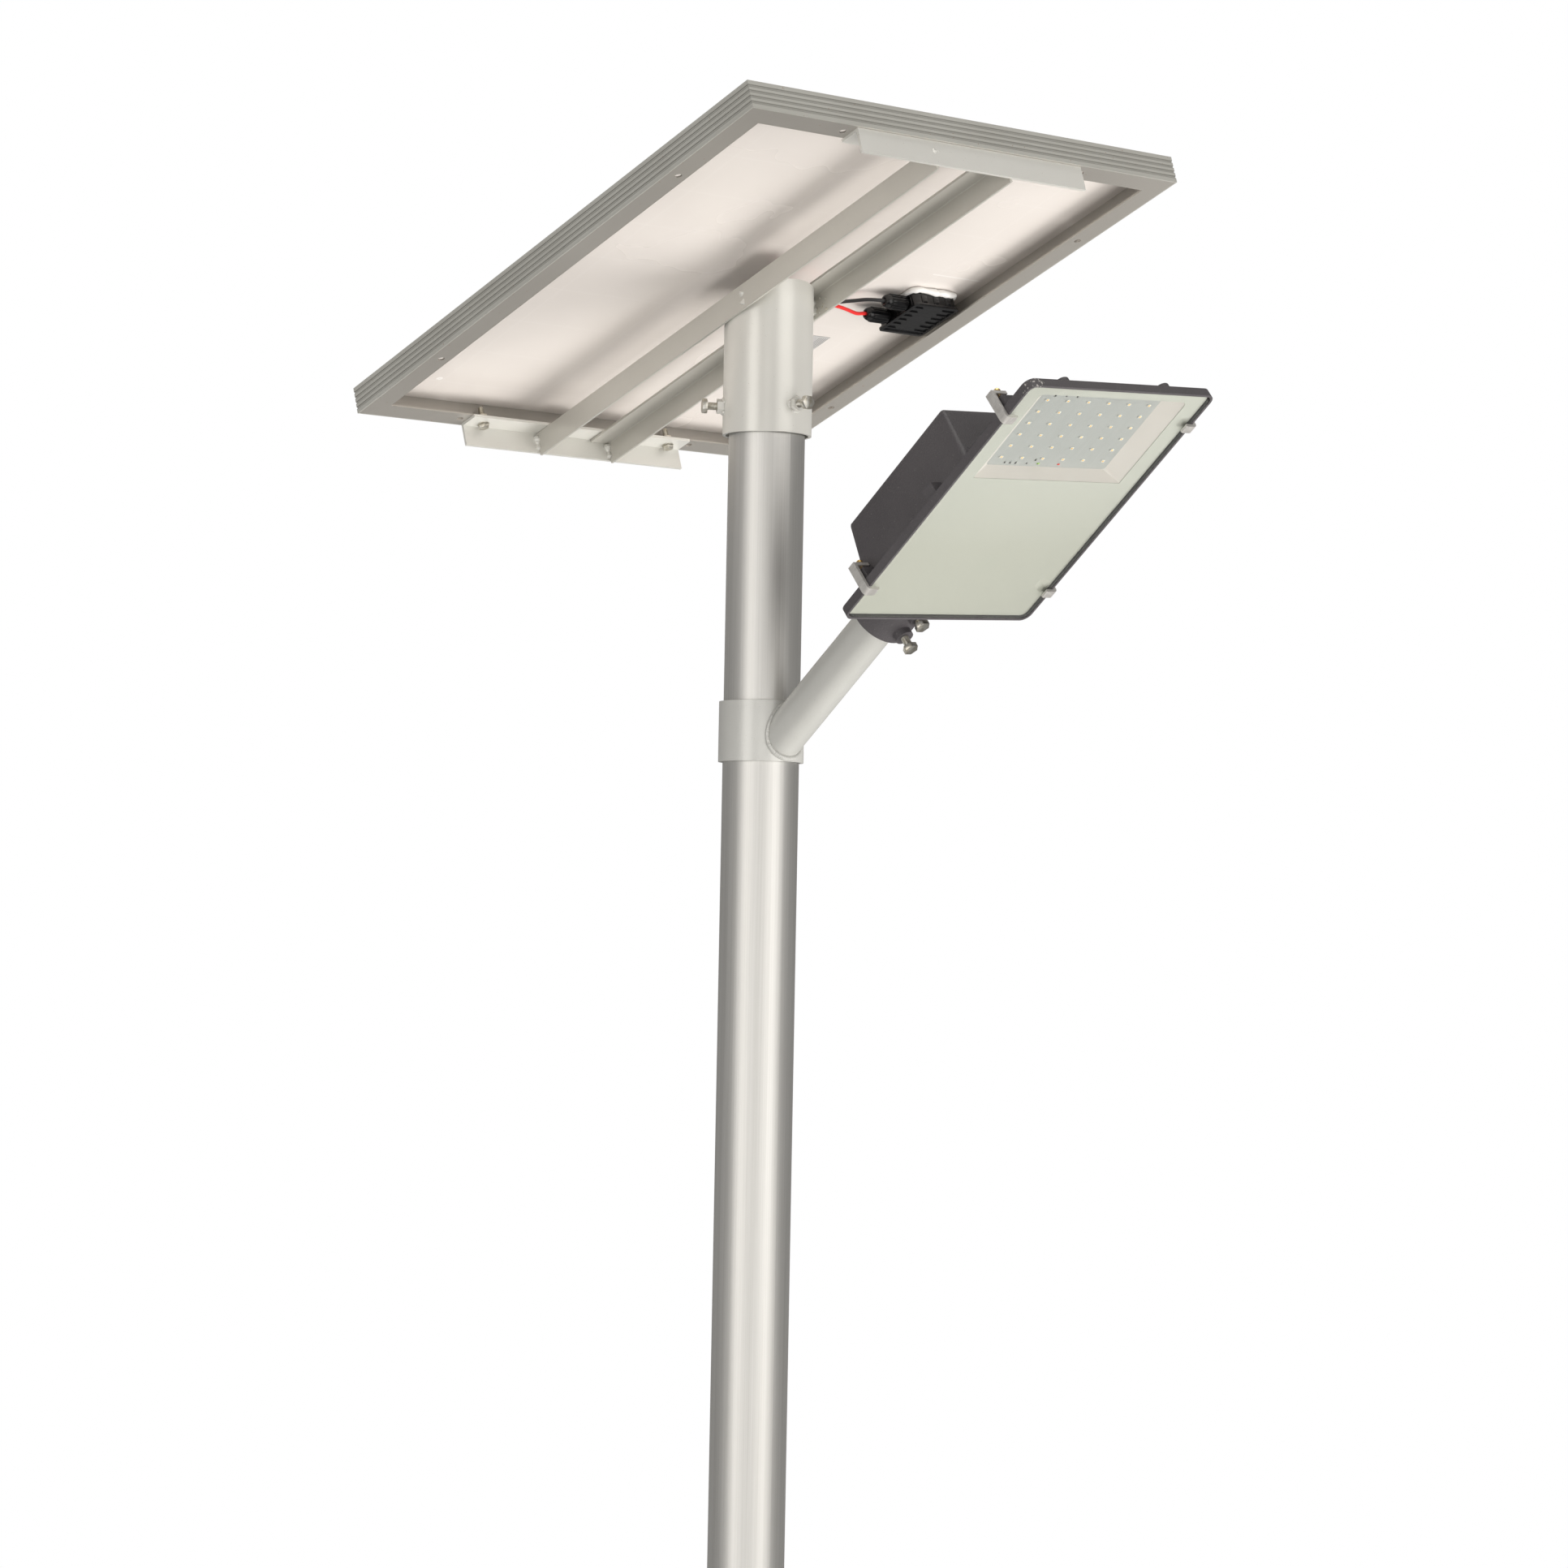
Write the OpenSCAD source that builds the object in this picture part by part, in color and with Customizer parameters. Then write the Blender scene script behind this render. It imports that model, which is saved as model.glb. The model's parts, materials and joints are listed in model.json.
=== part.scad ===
// Solar street lamp: a pole, a swivelling solar panel on a sleeve, and an arm that carries the lamp.
// Origin: underside of the base plate, on the pole's axis. +Z is up and the arm points along +X.

/* [Pole] */
// Outside diameter of the pole
pole_d = 76.1; // [60:0.1:90]
// Wall of the pole
pole_wall = 3; // [2:0.5:4]
// Height of the pole's open top above the ground
pole_h = 2975; // [2000:5:4000]
// Side of the square base plate
base_w = 200; // [170:5:260]
// Thickness of the base plate
base_t = 10; // [6:1:16]
// Distance between the anchor holes, both ways
anchor_pitch = 150; // [130:5:190]
// Diameter of an anchor hole
anchor_d = 18; // [12:1:22]
// Height of a gusset above the base plate
gusset_h = 90; // [50:5:160]
// Thickness of a gusset
gusset_t = 6; // [4:1:10]

/* [Sleeve] */
// Outside diameter of the sleeve
sleeve_d = 88.9; // [84:0.1:110]
// Wall of the sleeve
sleeve_wall = 3.2; // [2.5:0.1:4]
// Length of the pole that the sleeve covers
sleeve_cover = 93; // [70:1:130]
// Height of the set bolts above the sleeve's lower end
set_bolt_rise = 28; // [15:1:45]
// Number of set bolts around the sleeve
set_bolt_count = 3; // [3:1:3]
// Gap between a welded nut and its bolt's head
set_bolt_gap = 9.7; // [8:0.1:16]

/* [Bracket] */
// Leg of the steel angle that the rails and cross-members are cut from
angle_leg = 25; // [20:1:32]
// Thickness of the steel angle
angle_t = 3; // [2:0.5:4]
// Length of a cross-member
cross_len = 280; // [200:5:400]
// Distance from the panel's edge to a cross-member
cross_inset = 3; // [1:0.5:8]
// Distance between the two panel bolts of one cross-member
panel_bolt_pitch = 240; // [160:5:270]

/* [Panel] */
// Length of the panel, along its slope
panel_len = 680; // [600:5:800]
// Width of the panel
panel_w = 532; // [480:2:640]
// Depth of the panel's frame
frame_h = 28; // [26:1:40]
// Width of the frame's back flange
flange_w = 25; // [20:1:32]
// Wall of the frame extrusion
frame_wall = 1.8; // [1.2:0.1:2.4]
// Slope of the panel
panel_tilt = 19; // [10:0.5:35]
// How far the panel's middle lies below the pole's axis, along the slope
panel_shift = 16; // [0:1:40]
// Cells along the slope
cell_rows = 9; // [6:1:12]
// Cells across the slope
cell_cols = 4; // [3:1:6]

/* [Junction box] */
// Length of the junction box, along the slope
jbox_len = 62; // [50:1:80]
// Width of the junction box
jbox_w = 56; // [45:1:64]
// Height of the junction box with its lid
jbox_h = 20; // [16:1:22]
// Distance from the panel's middle line to the junction box's middle
jbox_offset = 210; // [180:1:212]
// Distance between the two cable glands
gland_pitch = 31; // [26:1:36]
// Diameter of a gland nut
gland_d = 16; // [14:0.5:17]
// Length of a gland nut
gland_len = 28; // [22:1:32]

/* [Arm] */
// Outside diameter of the arm
arm_d = 42.4; // [38:0.1:48.3]
// Wall of the arm
arm_wall = 2.6; // [2:0.1:4]
// Slope of the arm
arm_tilt = 37; // [25:1:50]
// Length of the arm along its axis, from the pole's axis
arm_len = 280; // [240:5:400]
// Outside diameter of the collar
collar_d = 85; // [83:0.5:95]
// Height of the collar
collar_h = 60; // [55:1:90]
// Height of the collar's middle above the ground
collar_z = 2586; // [1500:1:2700]
// Gap between the collar and the pole
collar_clear = 1; // [0.5:0.1:1.5]
// Diameter of the cable hole in the pole's wall
cable_hole_d = 26; // [22:1:30]

/* [Lamp] */
// Length of the lamp's rim, along the arm
lamp_len = 323; // [300:1:360]
// Width of the lamp's rim
lamp_w = 240; // [220:2:280]
// Thickness of the rim
rim_h = 9; // [8:0.5:12]
// Height of the battery box above the glass
box_h = 80; // [74:1:100]
// Wall of the casting
cast_wall = 3.5; // [2.5:0.5:4]
// Roll of the lamp about its arm, as it was set
lamp_roll = 4.5; // [-10:0.5:10]
// Height of the arm's axis above the glass
spigot_rise = 52; // [48:1:60]
// Outside diameter of the spigot
spigot_d = 62; // [58:1:70]
// Length of the spigot beyond the rim
spigot_out = 60; // [54:1:80]
// Gap between the spigot's bore and the arm
spigot_clear = 0.5; // [0.3:0.1:0.8]
// How far the arm reaches into the spigot
arm_grip = 54; // [40:1:56]
// Thickness of the glass with its print
glass_t = 4; // [3:0.5:5]
// Gap around the glass in its pocket
glass_clear = 1; // [0.5:0.1:1.5]
// Distance from the rim's edge to the glass
glass_inset = 3.5; // [3:0.5:6]
// Length of the clear window, along the arm
window_len = 113; // [100:1:120]
// Width of the clear window
window_w = 190; // [170:1:196]
// Distance from the lamp's near edge to the window's middle
window_x = 252; // [248:1:254]
// LEDs along the arm
led_rows = 6; // [4:1:6]
// LEDs across the lamp
led_cols = 6; // [4:1:6]
// Distance between LED rows
led_row_pitch = 15.4; // [12:0.2:15.4]
// Distance between LED columns
led_col_pitch = 26.4; // [20:0.2:26.4]

/* [Clamps] */
// Length of a glass clamp, along the rim
clamp_len = 9; // [8:0.5:18]
// Thickness of a glass clamp
clamp_t = 3.5; // [2.5:0.5:4]
// How far a clamp's lip reaches over the glass
clamp_lip = 9; // [7:1:16]
// Distance from the rim's ends to the clamps nearest to them
clamp_end = 43; // [36:1:60]

/* [Hidden] */
$fn = 96;

// Small overlap of a cutting body past the face that it cuts
over = 1;
// Gap where two solids only touch by a weld, or bear on each other
weld_gap = 0.1;
bear_gap = 0.3;

// M8 set bolts and their welded nuts
bolt_r = 4;
bolt_fit = 0.08;
head_flat = 13;
head_h = 5.5;
nut_h = 6.5;
// M6 panel bolts
panel_bolt_r = 3;
panel_hole_r = 3.4;
panel_head_flat = 10;
panel_head_h = 4;
panel_nut_h = 5;
washer_t = 1;
washer_r = 6.2;
// Spare holes in the panel's flange
spare_hole_r = 3.5;
spare_hole_pitch = 298;
// Holes in the flanges of the two long sides
side_hole_inset = 14;
side_hole_pitch = 408;

pole_r = pole_d / 2;
pole_bore_r = pole_r - pole_wall;
sleeve_r = sleeve_d / 2;
sleeve_bore_r = sleeve_r - sleeve_wall;
collar_r = collar_d / 2;
collar_bore_r = pole_r + collar_clear;
arm_r = arm_d / 2;
arm_bore_r = arm_r - arm_wall;

// The panel's own frame: x up the slope, y across, z out of the sun side, zero on the flange's back
sleeve_z = pole_h - sleeve_cover;
mouth_gap = 29;
bracket_drop = 2 * angle_t;
panel_z = pole_h + mouth_gap + bracket_drop / cos(panel_tilt) + sleeve_r * tan(panel_tilt);
cross_face = panel_len / 2 - cross_inset;
rail_len = 2 * (cross_face - angle_t) - 2 * weld_gap;
rail_face = sleeve_r + weld_gap;
panel_bolt_x = cross_face - 11;
lip_t = 1.5;
lip_w = 8;
shelf_t = 1.5;
box_wall_x = 8;
laminate_t = 4;
laminate_gap = 0.2;
laminate_z = frame_h - lip_t - laminate_gap - laminate_t;
cell_t = 0.4;
backsheet_t = 0.4;
edge_gap = 1;
cell_gap = 3;
cell_margin = 14;
rib_count = 4;
groove = 0.5;

jbox_z = laminate_z - jbox_h;
lid_t = 3;
jbox_wall = 2;
jbox_round = 6;
gland_z = laminate_z - 11.5;
gland_gap = 1.8;
gland_bore_r = 2.3;
lead_d = 3.8;
cable_d = 7;

// The arm's own frame: x along its axis from the pole's axis
arm_root_z = collar_z - collar_r * tan(arm_tilt);
arm_cable_top = arm_root_z + 55;
arm_cable_end = arm_len - 6;
head_cable_low = pole_h - 30;

// The lamp's own frame: x along the arm from the rim's near edge, z up from the glass's outer face
lamp_start = arm_len - arm_grip + spigot_out;
rim_round = 10;
glass_round = 7;
window_round = 6;
gasket_t = 2;
print_t = 0.4;
pocket_h = glass_t + gasket_t;
ledge_w = 12;
board_len = 100;
board_w = 154;
board_edge = 3;
board_z = 15;
board_t = 1.6;
pan_top = board_z + board_t + 4.4;
box_start = 40;
box_end = 204;
box_half = 95;
box_flare = 12;
fin_count = 6;
fin_pitch = 18;
fin_t = 3;
fin_h = 5.5;
lug_h = 21.5;
lug_w = 14;
clamp_leg_z = lug_h + 4;
clamp_leg = 15;
clamp_screw_r = 2;
clamp_corner = 4.5;
clamp_x = [clamp_end, lamp_len - clamp_end, clamp_end, lamp_len - clamp_end];
clamp_side = [-1, -1, 1, 1];
spigot_bolt_x = [-45, -19];
spigot_bolt_gap = [10, 4];
boss_len = 6;
boss_r = 9;
spigot_low = spigot_rise - spigot_d / 2;

// Routes of the two panel leads, in the panel's frame, from the gland to the boot in the sleeve's mouth
boot_drop = 20;
boot_len = 14;
boot_d = 12;
boot_x = panel_shift - boot_drop * sin(panel_tilt);
boot_z = bear_gap + lead_d / 2 * sin(panel_tilt) - boot_drop * cos(panel_tilt);
gland_root = jbox_offset - jbox_w / 2 - 10;
gland_end = jbox_offset - jbox_w / 2 - gland_gap - gland_len;
red_route = [
    [-gland_pitch / 2, gland_root, gland_z], [-gland_pitch / 2, gland_root - 9, gland_z],
    [-gland_pitch / 2, gland_end - 1, gland_z],
    [-13, 138, 8], [-7, 122, 7], [-1, 104, 6], [3, 78, 6], [8, 54, 6], [13, 34, 6],
    [15, 19, 3], [boot_x + 3, 6, -7], [boot_x, 2.6, boot_z]
];
black_route = [
    [gland_pitch / 2, gland_root, gland_z], [gland_pitch / 2, gland_root - 9, gland_z],
    [gland_pitch / 2, gland_end - 1, gland_z],
    [9, 136, 13], [0, 122, 14], [-7, 104, 14], [-5, 80, 14], [1, 54, 14], [8, 32, 14],
    [13, 13, 12], [boot_x + 5, 1, 2], [boot_x + 2, -2.6, -11], [boot_x, -2.6, boot_z]
];
arm_cable_route = [
    [0, 0, arm_cable_top], [0, 0, arm_root_z + 40], [0, 0, arm_root_z + 26], [4, 0, arm_root_z + 12],
    [14, 0, arm_root_z + 8], [26, 0, arm_root_z + 16], [38, 0, arm_root_z + 38 * tan(arm_tilt) - 3]
];

// Points spaced evenly along a smooth curve through the route's points
function catmull(a, b, c, d, t) = 0.5 * (2 * b + (c - a) * t + (2 * a - 5 * b + 4 * c - d) * t * t
    + (3 * b - a - 3 * c + d) * t * t * t);
function curve(p, steps) = [
    for (i = [0 : len(p) - 2], s = [0 : steps - 1])
        catmull(p[max(i - 1, 0)], p[i], p[i + 1], p[min(i + 2, len(p) - 1)], s / steps),
    p[len(p) - 1]
];
function unit(v) = v / norm(v);
// Carries a normal from ring to ring, so that the tube doesn't twist
function carried(n, dir) = unit(n - (n * dir) * dir);
function normals(dirs, n, i = 0) = i >= len(dirs) ? []
    : let (m = carried(n, dirs[i])) concat([m], normals(dirs, m, i + 1));

// A plain round tube swept along a curve
module swept(path, d, sides) {
    count = len(path);
    dirs = [for (i = [0 : count - 1]) unit(path[min(i + 1, count - 1)] - path[max(i - 1, 0)])];
    first = abs(dirs[0][1]) < 0.9 ? [0, 1, 0] : [1, 0, 0];
    across = normals(dirs, first);
    points = [
        for (i = [0 : count - 1], k = [0 : sides - 1])
            let (a = 360 * k / sides)
                path[i] + d / 2 * (cos(a) * across[i] + sin(a) * cross(dirs[i], across[i]))
    ];
    walls = [
        for (i = [0 : count - 2], k = [0 : sides - 1])
            let (a = i * sides + k, b = i * sides + (k + 1) % sides)
                [a, a + sides, b + sides, b]
    ];
    cap_a = [for (k = [0 : sides - 1]) k];
    cap_b = [for (k = [sides - 1 : -1 : 0]) (count - 1) * sides + k];
    polyhedron(points, concat(walls, [cap_a, cap_b]));
}

module in_panel() {
    translate([0, 0, panel_z]) rotate([0, -panel_tilt, 0]) translate([-panel_shift, 0, 0]) children();
}
module in_arm() {
    translate([0, 0, arm_root_z]) rotate([0, -arm_tilt, 0]) children();
}
module in_lamp() {
    in_arm() rotate([lamp_roll, 0, 0]) translate([lamp_start, 0, -spigot_rise]) children();
}

// A cylinder along x, from x = 0
module along_x(r, len) {
    rotate([0, 90, 0]) cylinder(r = r, h = len);
}
module hexagon(flat, h) {
    cylinder(r = flat / sqrt(3), h = h, $fn = 6);
}
// A rectangle with round corners, between two x values and either side of y = 0
module rounded(x0, x1, half, r) {
    translate([x0 + r, -half]) square([x1 - x0 - 2 * r, 2 * half]);
    translate([x0, -half + r]) square([x1 - x0, 2 * half - 2 * r]);
    for (x = [x0 + r, x1 - r], y = [-half + r, half - r]) translate([x, y]) circle(r = r);
}
module plate(x0, x1, half, r, z, h) {
    translate([0, 0, z]) linear_extrude(h) rounded(x0, x1, half, r);
}
module tube(outer, inner, h) {
    difference() {
        cylinder(r = outer, h = h);
        translate([0, 0, -over]) cylinder(r = inner, h = h + 2 * over);
    }
}
// Hex bolt along +x: its tip at x = tip, the underside of its head at x = seat
module hex_bolt(tip, seat) {
    translate([tip, 0, 0]) along_x(bolt_r, seat - tip);
    translate([seat, 0, 0]) rotate([0, 90, 0]) intersection() {
        hexagon(head_flat, head_h);
        cylinder(r1 = head_flat / 2 + head_h + 1, r2 = head_flat / 2 + 0.4, h = head_h);
    }
}
// Welded hex nut along +x, standing on a tube
module welded_nut(tube_r) {
    difference() {
        translate([tube_r - over, 0, 0]) rotate([0, 90, 0]) hexagon(head_flat, nut_h + over);
        translate([0, 0, -collar_h]) cylinder(r = tube_r + weld_gap, h = 2 * collar_h);
        along_x(bolt_r + bolt_fit, tube_r + nut_h + over);
    }
}

// Pole
module pole_tube() {
    color([0.77, 0.77, 0.76]) difference() {
        translate([0, 0, base_t]) tube(pole_r, pole_bore_r, pole_h - base_t);
        in_arm() along_x(cable_hole_d / 2, pole_r + cable_hole_d);
    }
}
module base_plate() {
    color([0.72, 0.73, 0.74]) difference() {
        plate(-base_w / 2, base_w / 2, base_w / 2, 12, 0, base_t);
        for (x = [-1, 1], y = [-1, 1])
            translate([x * anchor_pitch / 2, y * anchor_pitch / 2, -over])
                cylinder(d = anchor_d, h = base_t + 2 * over);
    }
}
module gussets() {
    reach = base_w / 2 - 8;
    color([0.74, 0.75, 0.76]) for (a = [0 : 90 : 270]) rotate([0, 0, a]) difference() {
        translate([0, gusset_t / 2, base_t + weld_gap]) rotate([90, 0, 0]) linear_extrude(gusset_t)
            polygon([[0, 0], [reach, 0], [reach, 8], [pole_r + 6, gusset_h], [0, gusset_h]]);
        translate([0, 0, base_t]) cylinder(r = pole_r + weld_gap, h = gusset_h + over);
    }
}
module pole_cable() {
    color([0.08, 0.08, 0.08]) translate([0, 0, arm_cable_top])
        cylinder(d = cable_d, h = head_cable_low - arm_cable_top);
}

// Sleeve and its set bolts
module sleeve() {
    color([0.84, 0.84, 0.82]) difference() {
        translate([0, 0, sleeve_z]) tube(sleeve_r, sleeve_bore_r, panel_z - sleeve_z + sleeve_d);
        in_panel() translate([-panel_len / 2, -sleeve_d, -bracket_drop - weld_gap])
            cube([panel_len, 2 * sleeve_d, 2 * sleeve_d]);
        for (i = [0 : set_bolt_count - 1]) at_set_bolt(i) along_x(bolt_r + 0.5, sleeve_d);
    }
}
module at_set_bolt(i) {
    translate([0, 0, sleeve_z + set_bolt_rise]) rotate([0, 0, 360 * i / set_bolt_count]) children();
}
module sleeve_nuts() {
    color([0.84, 0.84, 0.82]) for (i = [0 : set_bolt_count - 1]) at_set_bolt(i) welded_nut(sleeve_r);
}
module sleeve_bolt(i) {
    color([0.62, 0.6, 0.55]) at_set_bolt(i)
        hex_bolt(pole_r + bear_gap, sleeve_r + nut_h + set_bolt_gap);
}

// Bracket: steel angle, one leg flat under the panel and one hanging
module angle(len) {
    rotate([90, 0, 90]) translate([0, 0, -len / 2]) linear_extrude(len)
        polygon([
            [0, 0], [angle_leg, 0], [angle_leg, -angle_t], [angle_t, -angle_t], [angle_t, -angle_leg],
            [0, -angle_leg]
        ]);
}
// The leg faces the sleeve and the flat leg lies over the sleeve's mouth
module rail(side) {
    color([0.8, 0.79, 0.76]) in_panel() translate([0, side * (rail_face + angle_t), -angle_t - weld_gap])
        mirror([0, side > 0 ? 1 : 0, 0]) angle(rail_len);
}
module rail_left() {
    rail(-1);
}
module rail_right() {
    rail(1);
}
module cross_member(end) {
    color([0.8, 0.79, 0.76]) in_panel() difference() {
        translate([end * cross_face, 0, 0]) rotate([0, 0, end > 0 ? 90 : -90]) angle(cross_len);
        for (y = [-1, 1]) translate([end * panel_bolt_x, y * panel_bolt_pitch / 2, -angle_t - over])
            cylinder(r = panel_hole_r, h = angle_t + 2 * over);
    }
}
module cross_low() {
    cross_member(-1);
}
module cross_high() {
    cross_member(1);
}
module at_panel_bolts() {
    in_panel() for (x = [-1, 1], y = [-1, 1])
        translate([x * panel_bolt_x, y * panel_bolt_pitch / 2, 0]) children();
}
module panel_bolts() {
    under = -angle_t - washer_t;
    color([0.55, 0.54, 0.5]) at_panel_bolts() {
        translate([0, 0, under - panel_head_h]) hexagon(panel_head_flat, panel_head_h);
        translate([0, 0, under]) cylinder(r = washer_r, h = washer_t);
        translate([0, 0, under]) cylinder(r = panel_bolt_r, h = 20);
    }
}
module panel_nuts() {
    color([0.6, 0.6, 0.58]) at_panel_bolts() difference() {
        translate([0, 0, frame_wall]) hexagon(panel_head_flat, panel_nut_h);
        cylinder(r = panel_bolt_r + bolt_fit, h = 3 * panel_nut_h);
    }
}

// Panel frame: hollow extrusion, seen along its length, with its outer face at x = 0
module frame_profile() {
    difference() {
        union() {
            square([frame_wall, frame_h]);
            square([flange_w, frame_wall]);
            square([box_wall_x, laminate_z - laminate_gap]);
            translate([0, frame_h - lip_t]) square([lip_w, lip_t]);
        }
        translate([frame_wall, frame_wall])
            square([box_wall_x - 2 * frame_wall, laminate_z - laminate_gap - shelf_t - frame_wall]);
        for (i = [1 : rib_count]) translate([-over, i * frame_h / (rib_count + 1) - 1])
            square([over + groove, 2]);
    }
}
// A mitred bar of the frame, along x, with its outer face on y = -across / 2
module frame_bar(len, across) {
    difference() {
        intersection() {
            translate([-len / 2, -across / 2, 0]) rotate([90, 0, 90]) linear_extrude(len)
                frame_profile();
            translate([0, 0, -over]) linear_extrude(frame_h + 2 * over)
                polygon([
                    [-len / 2, -across / 2], [len / 2, -across / 2],
                    [len / 2 - 2 * flange_w, -across / 2 + 2 * flange_w],
                    [-len / 2 + 2 * flange_w, -across / 2 + 2 * flange_w]
                ]);
        }
        children();
    }
}
module end_bar(end) {
    inset = panel_len / 2 - panel_bolt_x;
    color([0.66, 0.66, 0.64]) in_panel() rotate([0, 0, end > 0 ? 90 : -90])
        frame_bar(panel_w, panel_len) {
            for (x = [-1, 1]) translate([x * panel_bolt_pitch / 2, inset - panel_len / 2, -over])
                cylinder(r = panel_hole_r, h = frame_wall + 2 * over);
            for (x = [-1, 1]) translate([x * spare_hole_pitch / 2, inset - panel_len / 2, -over])
                cylinder(r = spare_hole_r, h = frame_wall + 2 * over);
        }
}
module side_bar(side) {
    color([0.66, 0.66, 0.64]) in_panel() rotate([0, 0, side > 0 ? 180 : 0])
        frame_bar(panel_len, panel_w) {
            for (x = [-1, 1]) translate([x * side_hole_pitch / 2, side_hole_inset - panel_w / 2, -over])
                cylinder(r = spare_hole_r, h = frame_wall + 2 * over);
        }
}
module frame_low() {
    end_bar(-1);
}
module frame_high() {
    end_bar(1);
}
module frame_left() {
    side_bar(-1);
}
module frame_right() {
    side_bar(1);
}

// Laminate: backsheet, cells and glass
module sheet(z, t) {
    inset = frame_wall + edge_gap;
    translate([inset - panel_len / 2, inset - panel_w / 2, z])
        cube([panel_len - 2 * inset, panel_w - 2 * inset, t]);
}
module backsheet() {
    color([0.84, 0.81, 0.77]) in_panel() sheet(laminate_z, backsheet_t);
}
module panel_glass() {
    low = laminate_z + backsheet_t + cell_t;
    color([0.7, 0.8, 0.85, 0.4]) in_panel() sheet(low, laminate_z + laminate_t - low);
}
module solar_cells() {
    row = (panel_len - 2 * cell_margin + cell_gap) / cell_rows;
    col = (panel_w - 2 * cell_margin + cell_gap) / cell_cols;
    color([0.05, 0.07, 0.18]) in_panel() translate([
        cell_margin - panel_len / 2, cell_margin - panel_w / 2, laminate_z + backsheet_t
    ]) for (i = [0 : cell_rows - 1], j = [0 : cell_cols - 1]) translate([i * row, j * col, 0])
        cube([row - cell_gap, col - cell_gap, cell_t]);
}

// Junction box, its lid, glands and sealant
module at_jbox() {
    in_panel() translate([0, jbox_offset, 0]) children();
}
module jbox_plate(grow, z, h) {
    plate(-jbox_len / 2 - grow, jbox_len / 2 + grow, jbox_w / 2 + grow, jbox_round, z, h);
}
module junction_box() {
    floor = jbox_z + lid_t;
    color([0.07, 0.07, 0.07]) at_jbox() difference() {
        union() {
            jbox_plate(0, floor, laminate_z - floor);
            for (x = [-1, 1]) translate([x * gland_pitch / 2, -jbox_w / 2, gland_z])
                rotate([90, 0, 0]) cylinder(d = gland_d - 5, h = 8);
        }
        jbox_plate(-jbox_wall, floor - over, laminate_z - floor - jbox_wall + over);
        for (x = [-1, 1]) translate([x * gland_pitch / 2, 0, gland_z])
            rotate([90, 0, 0]) cylinder(r = gland_bore_r, h = jbox_w);
    }
}
module junction_lid() {
    color([0.1, 0.1, 0.1]) at_jbox() {
        difference() {
            jbox_plate(1.5, jbox_z, lid_t - weld_gap);
            jbox_plate(-5, jbox_z - over, over + 1.2);
        }
        for (x = [-2 : 2]) translate([x * 9 - 0.6, -jbox_w / 2 + 6, jbox_z + 0.2])
            cube([1.2, jbox_w - 12, 1.1]);
    }
}
module gland(side) {
    color([0.08, 0.08, 0.08]) at_jbox() translate([side * gland_pitch / 2, -jbox_w / 2 - gland_gap, gland_z])
        rotate([90, 0, 0]) difference() {
            union() {
                cylinder(d = gland_d - 2, h = gland_len - 4);
                translate([0, 0, gland_len - 4]) cylinder(d1 = gland_d - 2, d2 = gland_d - 7, h = 4);
                for (a = [0 : 30 : 330]) rotate([0, 0, a]) translate([gland_d / 2 - 1.8, -1, 2])
                    cube([1.8, 2, gland_len - 7]);
            }
            translate([0, 0, -over]) cylinder(d = gland_d - 5 + 2 * weld_gap, h = 8 + over);
            cylinder(r = gland_bore_r, h = gland_len + over);
        }
}
module gland_red() {
    gland(-1);
}
module gland_black() {
    gland(1);
}
module sealant() {
    color([0.95, 0.94, 0.92]) at_jbox() difference() {
        jbox_plate(4, laminate_z - 2.5, 2.5);
        jbox_plate(weld_gap, laminate_z - 2.5 - over, 2.5 + 2 * over);
    }
}
module panel_label() {
    color([0.75, 0.75, 0.74]) in_panel() translate([-124, 148, laminate_z - 0.3]) cube([30, 22, 0.3]);
}
module pv_lead_red() {
    color([0.75, 0.05, 0.04]) in_panel() swept(curve(red_route, 2), lead_d, 8);
}
module pv_lead_black() {
    color([0.06, 0.06, 0.06]) in_panel() swept(curve(black_route, 2), lead_d, 8);
}
// The two leads meet in one sheath, which drops on the swivel's axis
module head_cable() {
    boot_low = panel_z - boot_drop - boot_len;
    color([0.08, 0.08, 0.08]) {
        translate([0, 0, head_cable_low]) cylinder(d = cable_d, h = boot_low - head_cable_low);
        translate([0, 0, boot_low]) cylinder(d = boot_d, h = boot_len);
    }
}

// Arm with its collar
module collar() {
    color([0.78, 0.78, 0.76]) difference() {
        translate([0, 0, collar_z - collar_h / 2]) tube(collar_r, collar_bore_r, collar_h);
        in_arm() along_x(arm_bore_r, collar_d);
        at_collar_bolt() along_x(bolt_r + 0.5, collar_d);
    }
}
module at_collar_bolt() {
    translate([0, 0, collar_z]) rotate([0, 0, 180]) children();
}
module collar_nut() {
    color([0.78, 0.78, 0.76]) at_collar_bolt() welded_nut(collar_r);
}
module collar_bolt() {
    color([0.62, 0.6, 0.55]) at_collar_bolt()
        hex_bolt(pole_r + bear_gap, collar_r + nut_h + set_bolt_gap / 2);
}
module arm_tube() {
    color([0.78, 0.78, 0.76]) difference() {
        in_arm() along_x(arm_r, arm_len);
        in_arm() translate([-over, 0, 0]) along_x(arm_bore_r, arm_len + 2 * over);
        translate([0, 0, collar_z - 2 * collar_d]) cylinder(r = collar_r + weld_gap, h = 3 * collar_d);
    }
}
module arm_cable() {
    axis = [cos(arm_tilt), 0, sin(arm_tilt)];
    root = [0, 0, arm_root_z];
    path = concat(
        curve(arm_cable_route, 3),
        [for (s = [75, 110, arm_cable_end - 40, arm_cable_end]) root + s * axis]
    );
    color([0.08, 0.08, 0.08]) swept(path, cable_d, 12);
}

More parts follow.
